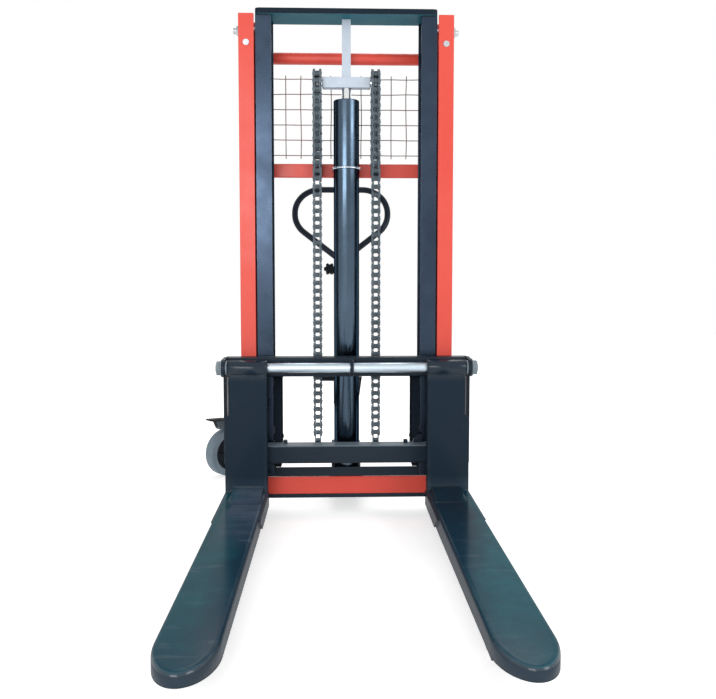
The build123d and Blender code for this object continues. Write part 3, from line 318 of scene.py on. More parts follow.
# top plate: dark paint, with a painted teal reflection on the faces that look down
paint("tealReflectionPaint", (0.022, 0.155, 0.205), (0.028, 0.17, 0.225), 0.5, 0.6, (0.13, 0.17, 0.19),
      gloss=(0.02, 0.1, 0.25), slopeLight=(-0.7, -0.3, (0.012, 0.022, 0.034)))
paint("cylinderPaint", (0.06, 0.09, 0.126), (0.068, 0.1, 0.138), 0.22, 0.4, darkRubAndHighlight,
      gloss=(0.5, 0.0, 0.3), rim=0.12)
paint("chainPlate", (0.075, 0.1, 0.122), (0.13, 0.165, 0.19), 0.4, 0.6, (0.34, 0.38, 0.42),
      gloss=(0.0, 0.2, 0.2))
paint("chainRoller", (0.2, 0.245, 0.275), (0.27, 0.32, 0.35), 0.4, 0.3, (0.36, 0.4, 0.44),
      gloss=(0.0, 0.25, 0.18))
paint("guardWire", (0.14, 0.115, 0.12), (0.21, 0.09, 0.085), 0.45, 0.4, (0.3, 0.28, 0.26))
paint("pedalBlack", (0.02, 0.022, 0.024), (0.03, 0.032, 0.034), 0.45, 0.9, (0.3, 0.3, 0.3),
      gloss=(0.05, 0.1, 0.3))
# fork: color, shade and inner are the painted sheen on the blade tops, heel the rubbed grey, dark the paint,
# side its lighter painted-light tone
bladePaint("forkPaint", color=(0.007, 0.08, 0.103), shade=(0.013, 0.112, 0.142), inner=(0.009, 0.034, 0.06),
           heel=(0.075, 0.103, 0.15), dark=(0.015, 0.027, 0.042), side=(0.025, 0.042, 0.061))

# steels: two tones, roughness, grain, grime, relief and the reach of the roughness
metal("brightSteel", (0.60, 0.66, 0.74), (0.56, 0.62, 0.70), 0.2, (1, 30, 30), 0.05, 0.02, (-0.02, 0.05))
metal("platedSteel", (0.47, 0.52, 0.585), (0.43, 0.48, 0.545), 0.62, (1, 30, 30), 0.05, 0.02, (-0.03, 0.06))
metal("shaftSteel", (0.55, 0.64, 0.71), (0.51, 0.60, 0.67), 0.42, (1, 20, 20), 0.04, 0.01, (-0.02, 0.05))
metal("boltZinc", (0.56, 0.59, 0.62), (0.42, 0.45, 0.48), 0.34, (1, 1, 1), 0.4)
metal("chromeRod", (0.82, 0.83, 0.84), (0.74, 0.75, 0.76), 0.12, (60, 60, 1), 0.1)
metal("rollerSteel", (0.36, 0.36, 0.36), (0.28, 0.28, 0.28), 0.32, (1, 50, 50), 0.5)
metal("zincPlate", (0.58, 0.6, 0.62), (0.48, 0.5, 0.53), 0.34, (1, 1, 1), 0.35)

# plastics and rubber: two tones, roughness, pebble and its strength
moulded("hubPlastic", (0.008, 0.013, 0.018), (0.013, 0.018, 0.025), 0.5, shine=0.08)
moulded("treadRubber", (0.19, 0.255, 0.305), (0.15, 0.205, 0.25), 0.62, 900)
moulded("rollerNylon", (0.72, 0.69, 0.6), (0.62, 0.59, 0.5), 0.45, 500, 0.05)
moulded("knobPlastic", (0.006, 0.011, 0.014), (0.01, 0.016, 0.02), 0.45, shine=0.1)

slotFinish = {
    "red_paint": "redPaint", "black_paint": "blackPaint", "bright_steel": "brightSteel",
    "chrome_rod": "chromeRod", "chain_steel": "chainPlate", "roller_steel": "rollerSteel",
    "guard_wire": "guardWire", "zinc_plate": "zincPlate", "pedal_black": "pedalBlack",
    "hub_plastic": "hubPlastic", "tread_rubber": "treadRubber", "roller_nylon": "rollerNylon",
    "knob_plastic": "knobPlastic",
}
nodeFinish = {  # CAD pieces whose finish is not their slot's
    "fork_left": "forkPaint", "fork_right": "forkPaint", "fork_shaft": "shaftSteel",
    "shaft_nuts": "chainRoller", "inner_post_left": "postPaint", "inner_post_right": "postPaint",
    "inner_top_plate": "tealReflectionPaint", "lift_cylinder": "cylinderPaint", "crosshead": "platedSteel",
    "mast_bolts": "boltZinc", "carriage_side_plates": "plateBlack", "carriage_roller_axles": "plateBlack",
    "carriage_lower_beam": "beamPaint",
}


def wear(obj, *names):
    # gives an object its finishes, in order
    obj.data.materials.clear()
    for name in names:
        obj.data.materials.append(finishes[name])


for part in frame["record"]["subparts"]:
    wear(cadNodes[part["node"]], nodeFinish.get(part["node"], slotFinish[part["material_slot"]]))
print("finishes made:", len(finishes))


def at(x, y, z):
    # millimetres from the middle of the mast on the floor, to this frame
    return Vector((x / 1000 + mast["x"], y / 1000 + mast["y"], z / 1000))


def facing(spot, direction):
    # a place whose local z points along direction
    return Matrix.Translation(spot) @ Vector(direction).to_track_quat("Z", "Y").to_matrix().to_4x4()


def polar(radius, angle, height):
    # millimetres about a local z, to metres
    return Vector((math.cos(angle) * radius, math.sin(angle) * radius, height)) / 1000


def oblong(halfLong, halfWide):
    return [(-halfLong, -halfWide), (halfLong, -halfWide), (halfLong, halfWide), (-halfLong, halfWide)]


def finishPiece(name, bm, body, slot, names=(), replaced=(), crease=35):
    # makes the object, in its slot's own finish unless others are named
    mesh = bpy.data.meshes.new(name)
    bmesh.ops.recalc_face_normals(bm, faces=bm.faces)
    bm.to_mesh(mesh)
    bm.free()
    mesh.polygons.foreach_set("use_smooth", [True] * len(mesh.polygons))
    mesh.set_sharp_from_angle(angle=math.radians(crease))
    obj = bpy.data.objects.new(name, mesh)
    bpy.context.scene.collection.objects.link(obj)
    wear(obj, *(names or (slotFinish[slot],)))
    if body:
        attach(obj, body)
    if replaced:
        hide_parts(*replaced)
    return obj


def bridge(bm, rings, look, closed=False, capped=False):
    # faces between neighbouring rings; a ring of one point makes a fan
    following = rings[1:] + rings[:1] if closed else rings[1:]
    for low, high in zip(rings, following):
        count = max(len(low), len(high))
        for i in range(count):
            j = (i + 1) % count
            if len(low) == 1:
                corners = (low[0], high[j], high[i])
            elif len(high) == 1:
                corners = (low[i], low[j], high[0])
            else:
                corners = (low[i], low[j], high[j], high[i])
            bm.faces.new(corners).material_index = look
    for ring in (rings[0], rings[-1]) if capped else ():
        bm.faces.new(ring).material_index = look


def lathe(bm, profile, place, sides=32, look=0, closed=False):
    # turns pairs of radius and height, in millimetres, about the local z of place; radius 0 is a tip
    rings = []
    for radius, height in profile:
        count = sides if radius else 1
        spots = [polar(radius, 2 * math.pi * i / count, height) for i in range(count)]
        rings.append([bm.verts.new(place @ spot) for spot in spots])
    bridge(bm, rings, look, closed)


def tube(bm, points, radii, sides=8):
    # round section along points, with one radius in metres or one for each point
    rings = []
    normal = None
    last = len(points) - 1
    for i, point in enumerate(points):
        along = (points[min(i + 1, last)] - points[max(i - 1, 0)]).normalized()
        if normal is None:
            normal = along.orthogonal().normalized()
        normal = (normal - along * normal.dot(along)).normalized()
        side = along.cross(normal)
        radius = radii if isinstance(radii, float) else radii[i]
        ring = []
        for k in range(sides):
            angle = 2 * math.pi * k / sides
            ring.append(bm.verts.new(point + (normal * math.cos(angle) + side * math.sin(angle)) * radius))
        rings.append(ring)
    bridge(bm, rings, 0, capped=True)


def slab(bm, outline, low, high, place, look=0, soft=0.0):
    # a flat outline in millimetres, drawn out along the local z of place, with its rims eased
    middle = sum((Vector(corner) for corner in outline), Vector((0, 0))) / len(outline)
    levels = ((low, 0), (high, 0))
    if soft:
        levels = ((low, soft), (low + soft, 0), (high - soft, 0), (high, soft))
    rings = []
    for height, inset in levels:
        ring = []
        for corner in outline:
            out = Vector(corner) - middle
            spot = middle + out * (1 - inset / max(out.length, 0.001))
            ring.append(bm.verts.new(place @ (Vector((spot.x, spot.y, height)) / 1000)))
        rings.append(ring)
    bridge(bm, rings, look, capped=True)


hardware = {"hexFace": 0.93, "hexTurned": 0.1, "washerEase": 0.2}  # shares of flats or thickness


def hexHead(bm, flats, height, place):
    # six-sided head or nut whose corners are turned down at the free face
    sides = (flats / math.sqrt(3), flats / 2)  # to a corner and to a flat, in turn
    turned = hardware["hexFace"] * flats / 2
    levels = ((0, sides), (height - hardware["hexTurned"] * flats, sides), (height, (turned, turned)))
    rings = []
    for z, radii in levels:
        rings.append([bm.verts.new(place @ polar(radii[i % 2], math.pi * i / 6, z)) for i in range(12)])
    bridge(bm, rings, 0, capped=True)


def washer(bm, inner, outer, thickness, place):
    ease = hardware["washerEase"] * thickness
    shoulder = thickness - ease
    profile = ((inner, 0), (outer, 0), (outer, shoulder), (outer - ease, thickness), (inner, thickness))
    lathe(bm, profile, place, closed=True)


def clip(bm, inner, outer, thickness, place, sides):
    lathe(bm, ((inner, 0), (outer, 0), (outer, thickness), (inner, thickness)), place, sides, closed=True)


weldRun = {"step": 0.0016, "scallop": 3, "ripple": (0.84, 0.16), "taper": (0.45, 0.2),
           "uneven": (0.94, 1.06), "sides": 7, "crease": 60, "seed": 41}
weldRandom = random.Random(weldRun["seed"])


def bead(bm, points, width):
    # a run of weld: overlapping scallops that taper at both ends
    path = []
    for start, end in zip(points, points[1:]):
        steps = max(3, int((end - start).length / weldRun["step"]))
        path += [start.lerp(end, i / steps) for i in range(steps)]
    path.append(points[-1])
    least, swell = weldRun["ripple"]
    tip, growth = weldRun["taper"]
    radii = []
    for i in range(len(path)):
        ripple = least + swell * abs(math.sin(math.pi * i / weldRun["scallop"]))
        taper = min(1.0, tip + growth * min(i, len(path) - 1 - i))
        radii.append(width / 2000 * ripple * taper * weldRandom.uniform(*weldRun["uneven"]))
    tube(bm, path, radii, weldRun["sides"])


softEdges = {
    "frame": 0.0012, "small": 0.0006, "bars": 0.0035, "join": 0.00001, "steps": 2, "angle": 40,
    "smallWords": ("nuts", "bolts", "knob", "pedal", "axle", "strap", "anchors"),
    "barNodes": ("bottom_beam", "middle_tie_bar"),
    "replaced": ("front_chains", "rear_chains", "chain_wraps", "guard_mesh"),
}


def sheathe(obj, radius):
    # softens the hard edges of a CAD piece
    weld = obj.modifiers.new("joinCorners", "WELD")
    weld.merge_threshold = softEdges["join"]
    soft = obj.modifiers.new("softEdges", "BEVEL")
    soft.width = radius
    soft.segments = softEdges["steps"]
    soft.limit_method = "ANGLE"
    soft.angle_limit = math.radians(softEdges["angle"])
    soft.harden_normals = True


for name, node in cadNodes.items():
    if name in softEdges["replaced"]:
        continue
    small = any(word in name for word in softEdges["smallWords"])
    kind = "small" if small else "bars" if name in softEdges["barNodes"] else "frame"
    sheathe(node, softEdges[kind])
print("edges softened")

chain = {
    "x": 93, "pitch": 25.4, "axleZ": 1389, "wheelLinks": 4, "inner": 6.3, "plate": 3.7, "height": 23.4,
    "waist": 16.5, "waistHalf": 2.5, "endFrom": -20, "endTurn": 220, "endSteps": 8,
    "roller": 14.6, "wheelRoller": 12.5, "rollerGap": 0.4, "rollerEase": 0.6, "rollerSides": 16,
    "pin": 8.0, "pinOut": 1.4, "pinEase": 0.7, "pinSides": 12,
    "group": 5, "travelLinks": 30, "rearLinks": 11, "tuck": 0.05, "halvings": 50, "farOff": 10000.0,
    "looks": ("chainPlate", "chainRoller"),
}
chainRadius = chain["pitch"] / (2 * math.sin(math.pi / (2 * chain["wheelLinks"])))
# for each run of a strand: its first link, the links of travel by which it follows the far body, and
# the steps by which its links are smaller, so that runs that slide into each other share no face
strands = (
    {"name": "frontChainRun", "node": "front_chains", "near": "inner_mast", "far": "carriage",
     "y": -chainRadius, "from": chain["axleZ"], "way": -1, "inner": 0,
     "starts": (0, 5, 10, 15, 20, 25, 30, 35, 40), "shifts": (0, 4, 8, 12, 16, 20, 24, 26, 30),
     "tucks": (0, 1, 2, 0, 1, 2, 0, 1, 2)},
    {"name": "rearChainRun", "node": "rear_chains", "near": "chassis", "far": "inner_mast",
     "y": chainRadius, "from": chain["axleZ"] - chain["pitch"] * chain["rearLinks"], "way": 1, "inner": 1,
     "starts": (0, 1, 2, 3, 4, 5, 6, 6, 6), "shifts": (0, 4, 8, 12, 16, 20, 24, 28, 30),
     "tucks": (0, 1, 2, 3, 4, 5, 6, 7, 8)},
)


def plateOutline(height, waist):
    # waisted link plate, one round end at each pin
    top = []
    for i in range(chain["endSteps"] + 1):
        angle = math.radians(chain["endFrom"] + chain["endTurn"] * i / chain["endSteps"])
        top.append((math.cos(angle) * height / 2, chain["pitch"] / 2 + math.sin(angle) * height / 2))
    left = [(-waist / 2, chain["waistHalf"]), (-waist / 2, -chain["waistHalf"])]
    half = top + left
    return half + [(-x, -y) for x, y in half]


def chainLink(bm, side, y, z, turn, isInner, roller, smaller=0.0):
    # the local x of a link lies across the strand, y along it, z to the machine's right
    across = Matrix(((0, 0, 1), (1, 0, 0), (0, 1, 0))).to_4x4()
    place = Matrix.Translation(at(side * chain["x"], y, z)) @ Matrix.Rotation(turn, 4, "X") @ across
    near = chain["inner"] if isInner else chain["inner"] + chain["plate"]
    outline = plateOutline(chain["height"] - smaller, chain["waist"] - smaller)
    for low in (near, -near - chain["plate"]):
        slab(bm, outline, low + smaller, low + chain["plate"] - smaller, place)
    if isInner:  # two rollers between the plates
        reach, radius = chain["inner"] - chain["rollerGap"], roller / 2 - smaller
        ease, sides = chain["rollerEase"], chain["rollerSides"]
    else:  # two pins through them
        reach, radius = near + chain["plate"] + chain["pinOut"] - smaller, chain["pin"] / 2 - smaller
        ease, sides = chain["pinEase"], chain["pinSides"]
    profile = ((0, -reach), (radius - ease, -reach), (radius, -reach + ease),
               (radius, reach - ease), (radius - ease, reach), (0, reach))
    for end in (chain["pitch"] / 2, -chain["pitch"] / 2):
        lathe(bm, profile, place @ Matrix.Translation((0, end / 1000, 0)), sides, look=1)


def share(obj, near, far, weight):
    # finds by halving where an eased blend reaches the weight, then bakes the piece's transform
    low, high = 0.0, 1.0
    for step in range(chain["halvings"]):
        middle = (low + high) / 2
        eased = 3 * middle ** 2 - 2 * middle ** 3  # how a blend eases from end to end
        low, high = (middle, high) if eased < weight else (low, middle)
    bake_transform(obj)


for strand in strands:
    for number, (start, shift, tuck) in enumerate(zip(strand["starts"], strand["shifts"], strand["tucks"])):
        bm = bmesh.new()
        for side in (-1, 1):
            for link in range(start, start + chain["group"]):
                height = strand["from"] + strand["way"] * chain["pitch"] * (link + 0.5)
                isInner = link % 2 == strand["inner"]
                chainLink(bm, side, strand["y"], height, 0, isInner, chain["roller"], chain["tuck"] * tuck)
        weight = shift / chain["travelLinks"]
        body = strand["near"] if weight == 0 else strand["far"] if weight == 1 else None
        name = strand["name"] + str(number)
        run = finishPiece(name, bm, body, "chain_steel", chain["looks"], (strand["node"],))
        if body is None:
            share(run, strand["near"], strand["far"], weight)
bm = bmesh.new()
step = math.pi / chain["wheelLinks"]
flat = chainRadius * math.cos(step / 2)
for side in (-1, 1):
    for link in range(chain["wheelLinks"]):
        angle = math.pi - step * (link + 0.5)
        y, z = flat * math.cos(angle), chain["axleZ"] + flat * math.sin(angle)
        chainLink(bm, side, y, z, angle, link % 2 == 1, chain["wheelRoller"])
finishPiece("chainOverWheels", bm, "inner_mast", "chain_steel", chain["looks"], ("chain_wraps",))
print("chains laid")

guard = {"cell": 49, "columns": 12, "rows": 5, "low": 1168.5, "wire": 1.5, "y": 51.5, "crimp": 1.3,
         "stub": 11, "stubSteps": 4, "cellSteps": 8, "drift": 1.1, "driftTurn": 6.28, "columnWave": 1.3,
         "rowWave": 0.9, "seed": 7, "tack": 3.2, "tackY": 50.6, "tackIn": 2, "tackSides": 10,
         "tackShape": ((0, -1), (1, -1), (0.9, 1.0), (0.5, 2.2), (0, 2.6))}  # share of radius, and height
guardRandom = random.Random(guard["seed"])


def drawDrift():
    # how far a wire strays, and where along it
    return guardRandom.uniform(-guard["drift"], guard["drift"]), guardRandom.uniform(0, guard["driftTurn"])


bm = bmesh.new()
stub = guard["stub"] / guard["cell"]
columnSteps = guard["rows"] * guard["cellSteps"] + guard["stubSteps"]
for column in range(guard["columns"] + 1):
    x = (column - guard["columns"] / 2) * guard["cell"]
    over = 1 if column % 2 == 0 else -1
    lean, phase = drawDrift()
    points = []
    for i in range(columnSteps + 1):
        row = -stub + (guard["rows"] + 2 * stub) * i / columnSteps
        wave = math.cos(math.pi * row) * over
        drift = lean * math.sin(row * guard["columnWave"] + phase)
        points.append(at(x + drift, guard["y"] + guard["crimp"] * wave, guard["low"] + row * guard["cell"]))
    tube(bm, points, guard["wire"] / 1000)
tackX = guard["columns"] / 2 * guard["cell"] - guard["tackIn"]
tackProfile = [(part * guard["tack"], height) for part, height in guard["tackShape"]]
for row in range(guard["rows"] + 1):
    z = guard["low"] + row * guard["cell"]
    over = 1 if row % 2 == 0 else -1
    lean, phase = drawDrift()
    points = []
    for i in range(guard["columns"] * guard["cellSteps"] + 1):
        column = i / guard["cellSteps"]
        wave = -math.cos(math.pi * column) * over
        drift = lean * math.sin(column * guard["rowWave"] + phase)
        x = (column - guard["columns"] / 2) * guard["cell"]
        points.append(at(x, guard["y"] + guard["crimp"] * wave, z + drift))
    tube(bm, points, guard["wire"] / 1000)
    for side in (-1, 1):  # tacks of weld where the wire meets the posts
        lathe(bm, tackProfile, facing(at(side * tackX, guard["tackY"], z), (0, 1, 0)), guard["tackSides"])
finishPiece("guardWires", bm, "chassis", "guard_wire", replaced=("guard_mesh",))
print("guard woven")

# runs of weld: the bead's width, then its points, in millimetres from the middle of the mast
welds = {"chassis": [], "chassisDark": [], "inner_mast": [], "carriage": []}
seams = {  # places to either side of the middle
    "beamEnd": 288.5, "beamMiddle": 60, "postIn": 290, "postOut": 335, "postSide": 337, "arm": 312.5,
    "innerIn": 236, "innerOut": 283, "plateIn": 210.5, "plateOut": 232.5, "endPlate": 373,
    "chain": chain["x"],
}
for side in (-1, 1):
    x = {name: side * place for name, place in seams.items()}
    welds["chassis"] += [
        (5, (x["beamEnd"], -50, 76), (x["beamEnd"], -50, 129)),  # ends of the bottom beam
        (9, (x["postIn"], 54.5, 1495), (x["postOut"], 54.5, 1495)),  # top tie bar
        (9, (x["postIn"], 54.5, 1471), (x["postOut"], 54.5, 1471)),
        (6, (x["postIn"], 50.5, 1142), (x["postOut"], 50.5, 1142)),  # middle tie bar
        (6, (x["postIn"], 50.5, 1096), (x["postOut"], 50.5, 1096)),
        (5, (x["beamEnd"], -42, 74.5), (x["beamMiddle"], -42, 74.5)),  # under the bottom beam
    ]
    welds["chassisDark"] += [
        (6, (x["postIn"], -50.5, 49.5), (x["postOut"], -50.5, 49.5)),  # feet of the outer posts
        (6, (x["postIn"], 50.5, 49.5), (x["postOut"], 50.5, 49.5)),
        (6, (x["postSide"], -49, 49.5), (x["postSide"], 49, 49.5)),
        (7, (x["arm"] - 22, 50.5, 234), (x["arm"] - 22, 50.5, 281)),  # caster arms
        (7, (x["arm"] + 22, 50.5, 234), (x["arm"] + 22, 50.5, 281)),
        (7, (x["arm"] - 20, 50.5, 282.5), (x["arm"] + 20, 50.5, 282.5)),
        (5, (x["chain"] - 10, 49.5, 1100), (x["chain"] - 10, 49.5, 1118)),  # rear chain anchors
        (5, (x["chain"] + 10, 49.5, 1100), (x["chain"] + 10, 49.5, 1118)),
    ]
    welds["inner_mast"] += [
        (5, (x["innerIn"], -46.5, 1587.5), (x["innerOut"], -46.5, 1587.5)),  # top plate
        (5, (x["innerIn"], 46.5, 1587.5), (x["innerOut"], 46.5, 1587.5)),
        (5, (x["innerIn"], -46.5, 139), (x["innerOut"], -46.5, 139)),  # bottom plate
        (5, (x["innerIn"], 46.5, 139), (x["innerOut"], 46.5, 139)),
    ]
    welds["carriage"] += [
        (6, (x["plateIn"], -52.5, 192), (x["plateIn"], -52.5, 243)),  # side plates
        (6, (x["plateOut"], -52.5, 192), (x["plateOut"], -52.5, 243)),
        (6, (x["plateIn"], -59, 466), (x["plateIn"], -59, 506)),
        (5, (x["endPlate"], -110, 245.5), (x["endPlate"], -82, 245.5)),  # end plates
        (5, (x["endPlate"], -112.3, 194), (x["endPlate"], -112.3, 241)),
        (5, (x["endPlate"], -107, 523.5), (x["endPlate"], -82, 523.5)),
        (5, (x["chain"] - 17, -52.5, 194), (x["chain"] - 17, -52.5, 221)),  # front chain anchors
        (5, (x["chain"] + 17, -52.5, 194), (x["chain"] + 17, -52.5, 221)),
    ]
welds["carriage"] += [(4, (x, -110, 472), (x, -110, 516)) for x in (8.5, 19.5)]  # shaft's middle lug
cylinderFoot = {"radius": 41.5, "z": 75, "steps": 36, "bead": 7}
footRing = []
for i in range(cylinderFoot["steps"] + 1):
    angle = 2 * math.pi * i / cylinderFoot["steps"]
    x, y = cylinderFoot["radius"] * math.cos(angle), cylinderFoot["radius"] * math.sin(angle)
    footRing.append((x, y, cylinderFoot["z"]))
welds["chassisDark"].append((cylinderFoot["bead"], *footRing))
for group, runs in welds.items():
    bm = bmesh.new()
    for width, *spots in runs:
        bead(bm, [at(*spot) for spot in spots], width)
    body = "chassis" if group == "chassisDark" else group
    slot = "red_paint" if group == "chassis" else "black_paint"
    finishPiece(f"{group}Welds", bm, body, slot, crease=weldRun["crease"])

heel = {"middle": 306.5, "half": 46.5, "reach": 57, "front": -150, "end": -269.8, "top": 110.5,
        "rise": 123.5, "bead": 6, "skirtDrop": 0.5, "skirtBead": 5}
for side, hand in ((-1, "left"), (1, "right")):
    bm = bmesh.new()
    x, half, reach = side * heel["middle"], heel["half"], heel["reach"]
    front, top, rise = heel["front"], heel["top"], heel["rise"]
    over = ((-reach, top), (-half, top), (-half, rise), (half, rise), (half, top), (reach, top))
    bead(bm, [at(x + run, front, z) for run, z in over], heel["bead"])
    skirt = ((-half, front), (-half, heel["end"]), (half, heel["end"]), (half, front))
    bead(bm, [at(x + run, y, top - heel["skirtDrop"]) for run, y in skirt], heel["skirtBead"])
    finishPiece(f"forkHeelWeld_{hand}", bm, f"fork_{hand}", "black_paint", ("forkPaint",),
                crease=weldRun["crease"])
print("welds run")

fasteners = {
    "axleZ": 1549, "axleWasher": (14.3, 20, 2.0), "axleWasherX": 336.5, "axleCapX": 354.4,
    "axleCap": ((10, 0), (10, 1.2), (8.6, 2.6), (0, 2.9)), "axleCapSides": 24, "clipSides": 20,
    "loadY": -972.5, "loadZ": 27, "clip": (8, 11, 1.6), "clipX": ((272.4, -1), (352.6, 1)),
    "shaftEnd": (-136.5, 494), "shaftWasher": (21, 27, 2.2), "shaftWasherX": 384.5, "shaftCapX": 400.4,
    "shaftCap": ((15, 0), (15, 1.0), (13.5, 2.4), (0, 2.6)), "spacerX": 367.8, "spacerSides": 36,
    "spacer": ((15.4, 0), (22, 0), (23, 0.8), (23, 4.6), (22, 5.4), (15.4, 5.4)),
    "keeper": (20, 7), "keeperThick": 3, "keeperEase": 0.6, "keeperX": 210.6, "keeperZ": (250, 452),
    "screw": (8, 1.5), "screwOut": 14, "screwSunk": 0.1,
}
bm = bmesh.new()
for side in (-1, 1):
    out = (side, 0, 0)
    washerAt, capAt = (at(side * fasteners[x], 0, fasteners["axleZ"]) for x in ("axleWasherX", "axleCapX"))
    washer(bm, *fasteners["axleWasher"], facing(washerAt, out))  # round the upper axle nuts
    lathe(bm, fasteners["axleCap"], facing(capAt, out), fasteners["axleCapSides"])
    for x, away in fasteners["clipX"]:  # on both ends of the load roller axles
        spot = at(side * x, fasteners["loadY"], fasteners["loadZ"])
        clip(bm, *fasteners["clip"], facing(spot, (side * away, 0, 0)), fasteners["clipSides"])
finishPiece("mastFasteners", bm, "chassis", "bright_steel", ("boltZinc",))
bm = bmesh.new()
for side in (-1, 1):
    out = (side, 0, 0)
    washerAt, capAt, spacerAt = (at(side * fasteners[x], *fasteners["shaftEnd"])
                                 for x in ("shaftWasherX", "shaftCapX", "spacerX"))
    washer(bm, *fasteners["shaftWasher"], facing(washerAt, out))  # round the shaft nuts
    lathe(bm, fasteners["shaftCap"], facing(capAt, out))
    lathe(bm, fasteners["spacer"], facing(spacerAt, out), fasteners["spacerSides"],
          look=1, closed=True)  # between end plate and fork eye
finishPiece("carriageFasteners", bm, "carriage", "bright_steel", ("chainRoller", "shaftSteel"))
bm = bmesh.new()
thick = fasteners["keeperThick"]
for side in (-1, 1):
    for z in fasteners["keeperZ"]:  # plates over the inner ends of the carriage roller axles
        face = facing(at(side * fasteners["keeperX"], 0, z), (-side, 0, 0))
        slab(bm, oblong(*fasteners["keeper"]), 0, thick, face, soft=fasteners["keeperEase"])
        for end in (-fasteners["screwOut"], fasteners["screwOut"]):
            seat = Matrix.Translation((end / 1000, 0, (thick - fasteners["screwSunk"]) / 1000))
            hexHead(bm, *fasteners["screw"], face @ seat)
finishPiece("axleKeepers", bm, "carriage", "black_paint", ("plateBlack",))

lugs = {  # stops on the lower beam
    "x": (-196, 187), "y": -66, "z": 244.6, "half": (6.5, 8), "height": 10, "ease": 1.2,
    "gusset": ((211, 244.4), (240, 244.4), (240, 270), (230, 270), (213, 256)), "gussetSpan": (55, 68),
    "gussetEase": 1.0,
}
bm = bmesh.new()
for x in lugs["x"]:
    seat = Matrix.Translation(at(x, lugs["y"], lugs["z"]))
    slab(bm, oblong(*lugs["half"]), 0, lugs["height"], seat, soft=lugs["ease"])
turned = Matrix(((1, 0, 0), (0, 0, 1), (0, -1, 0))).transposed().to_4x4()  # local y up, z to the front
standing = Matrix.Translation(at(0, 0, 0)) @ turned
# the gusset wears the lighter roller finish: painted light on a part that stands in shade
slab(bm, lugs["gusset"], *lugs["gussetSpan"], standing, look=1, soft=lugs["gussetEase"])
finishPiece("beamStopLugs", bm, "carriage", "black_paint", ("blackPaint", "chainRoller"))
print("fasteners set")

caster = {
    "x": 420, "y": 510, "turn": 222, "trail": 45, "axleZ": 90, "outside": 34, "axleWasher": (10.2, 19, 2.2),
    "nut": (30, 9), "nutOut": 2.1, "stemWasher": (21, 27, 2.4), "stemWasherZ": 282.4, "stemCapZ": 294.4,
    "stemCap": ((14, 0), (14, 1.2), (12.6, 2.8), (0, 3.0)), "stemCapSides": 28,
    "ribs": 6, "rib": 2.6, "ribTip": 0.7, "ribIn": 21, "ribOut": 59, "ribSpan": (-0.2, 6.6), "ribEase": 0.6,
    "face": 24, "recess": 8,
    "pedalFrom": 53, "pedalLong": 79, "pedalZ": 222, "pedalRise": 5, "treadFrom": 68, "treadStep": 10,
    "treads": 7, "tread": (2, 18), "treadHeight": 1.6, "treadSunk": 0.2, "treadEase": 0.5,
    "cheek": ((54, 219), (100, 221), (104, 214), (92, 188), (66, 188)), "cheekSpans": ((-15, -11), (11, 15)),
    "cheekEase": 0.8, "shoe": ((66, 194), (94, 194), (90, 185), (68, 186.5)), "shoeSpan": (-14.5, 14.5),
    "shoeEase": 1.0,
}
turn = math.radians(caster["turn"])
trail = Vector((math.cos(turn), math.sin(turn), 0))
across = Vector((-trail.y, trail.x, 0))
upright = Matrix((trail, (0, 0, 1), across)).transposed().to_4x4()  # local x along the trail, y up
for side, hand in ((-1, "left"), (1, "right")):
    swivel = (side * caster["x"], caster["y"])
    hub = at(*swivel, caster["axleZ"]) + trail * caster["trail"] / 1000
    bm = bmesh.new()
    for way in (-across, across):
        washer(bm, *caster["axleWasher"], facing(hub + way * caster["outside"] / 1000, way))
        nutAt = hub + way * (caster["outside"] + caster["nutOut"]) / 1000
        hexHead(bm, *caster["nut"], facing(nutAt, way))
    washer(bm, *caster["stemWasher"], Matrix.Translation(at(*swivel, caster["stemWasherZ"])))
    stemTop = Matrix.Translation(at(*swivel, caster["stemCapZ"]))
    lathe(bm, caster["stemCap"], stemTop, caster["stemCapSides"])
    finishPiece(f"casterHardware_{hand}", bm, f"caster_swivel_{hand}", "zinc_plate")
    bm = bmesh.new()
    thin = caster["rib"] * caster["ribTip"]
    rib = [(caster["ribIn"], -caster["rib"]), (caster["ribOut"], -thin),
           (caster["ribOut"], thin), (caster["ribIn"], caster["rib"])]
    for way in (-across, across):
        face = facing(hub + way * (caster["face"] - caster["recess"]) / 1000, way)
        for number in range(caster["ribs"]):
            spoke = face @ Matrix.Rotation(2 * math.pi * number / caster["ribs"], 4, "Z")
            slab(bm, rib, *caster["ribSpan"], spoke, soft=caster["ribEase"])
    finishPiece(f"casterHubRibs_{hand}", bm, f"caster_wheel_{hand}", "hub_plastic")
    bm = bmesh.new()
    for number in range(caster["treads"]):
        run = caster["treadFrom"] + caster["treadStep"] * number
        rise = caster["pedalZ"] + caster["pedalRise"] * (run - caster["pedalFrom"]) / caster["pedalLong"]
        spot = at(*swivel, rise - caster["treadSunk"]) + trail * run / 1000
        seat = Matrix.Translation(spot) @ Matrix.Rotation(turn, 4, "Z")
        slab(bm, oblong(*caster["tread"]), 0, caster["treadHeight"], seat, soft=caster["treadEase"])
    finishPiece(f"pedalTread_{hand}", bm, f"brake_pedal_{hand}", "pedal_black")
    bm = bmesh.new()
    flank = Matrix.Translation(at(*swivel, 0)) @ upright
    for span in caster["cheekSpans"]:  # under the pedal
        slab(bm, caster["cheek"], *span, flank, soft=caster["cheekEase"])
    slab(bm, caster["shoe"], *caster["shoeSpan"], flank, look=1, soft=caster["shoeEase"])
    finishPiece(f"brakeShoe_{hand}", bm, f"brake_pedal_{hand}", "pedal_black", ("chainPlate", "pedalBlack"))
print("casters dressed")

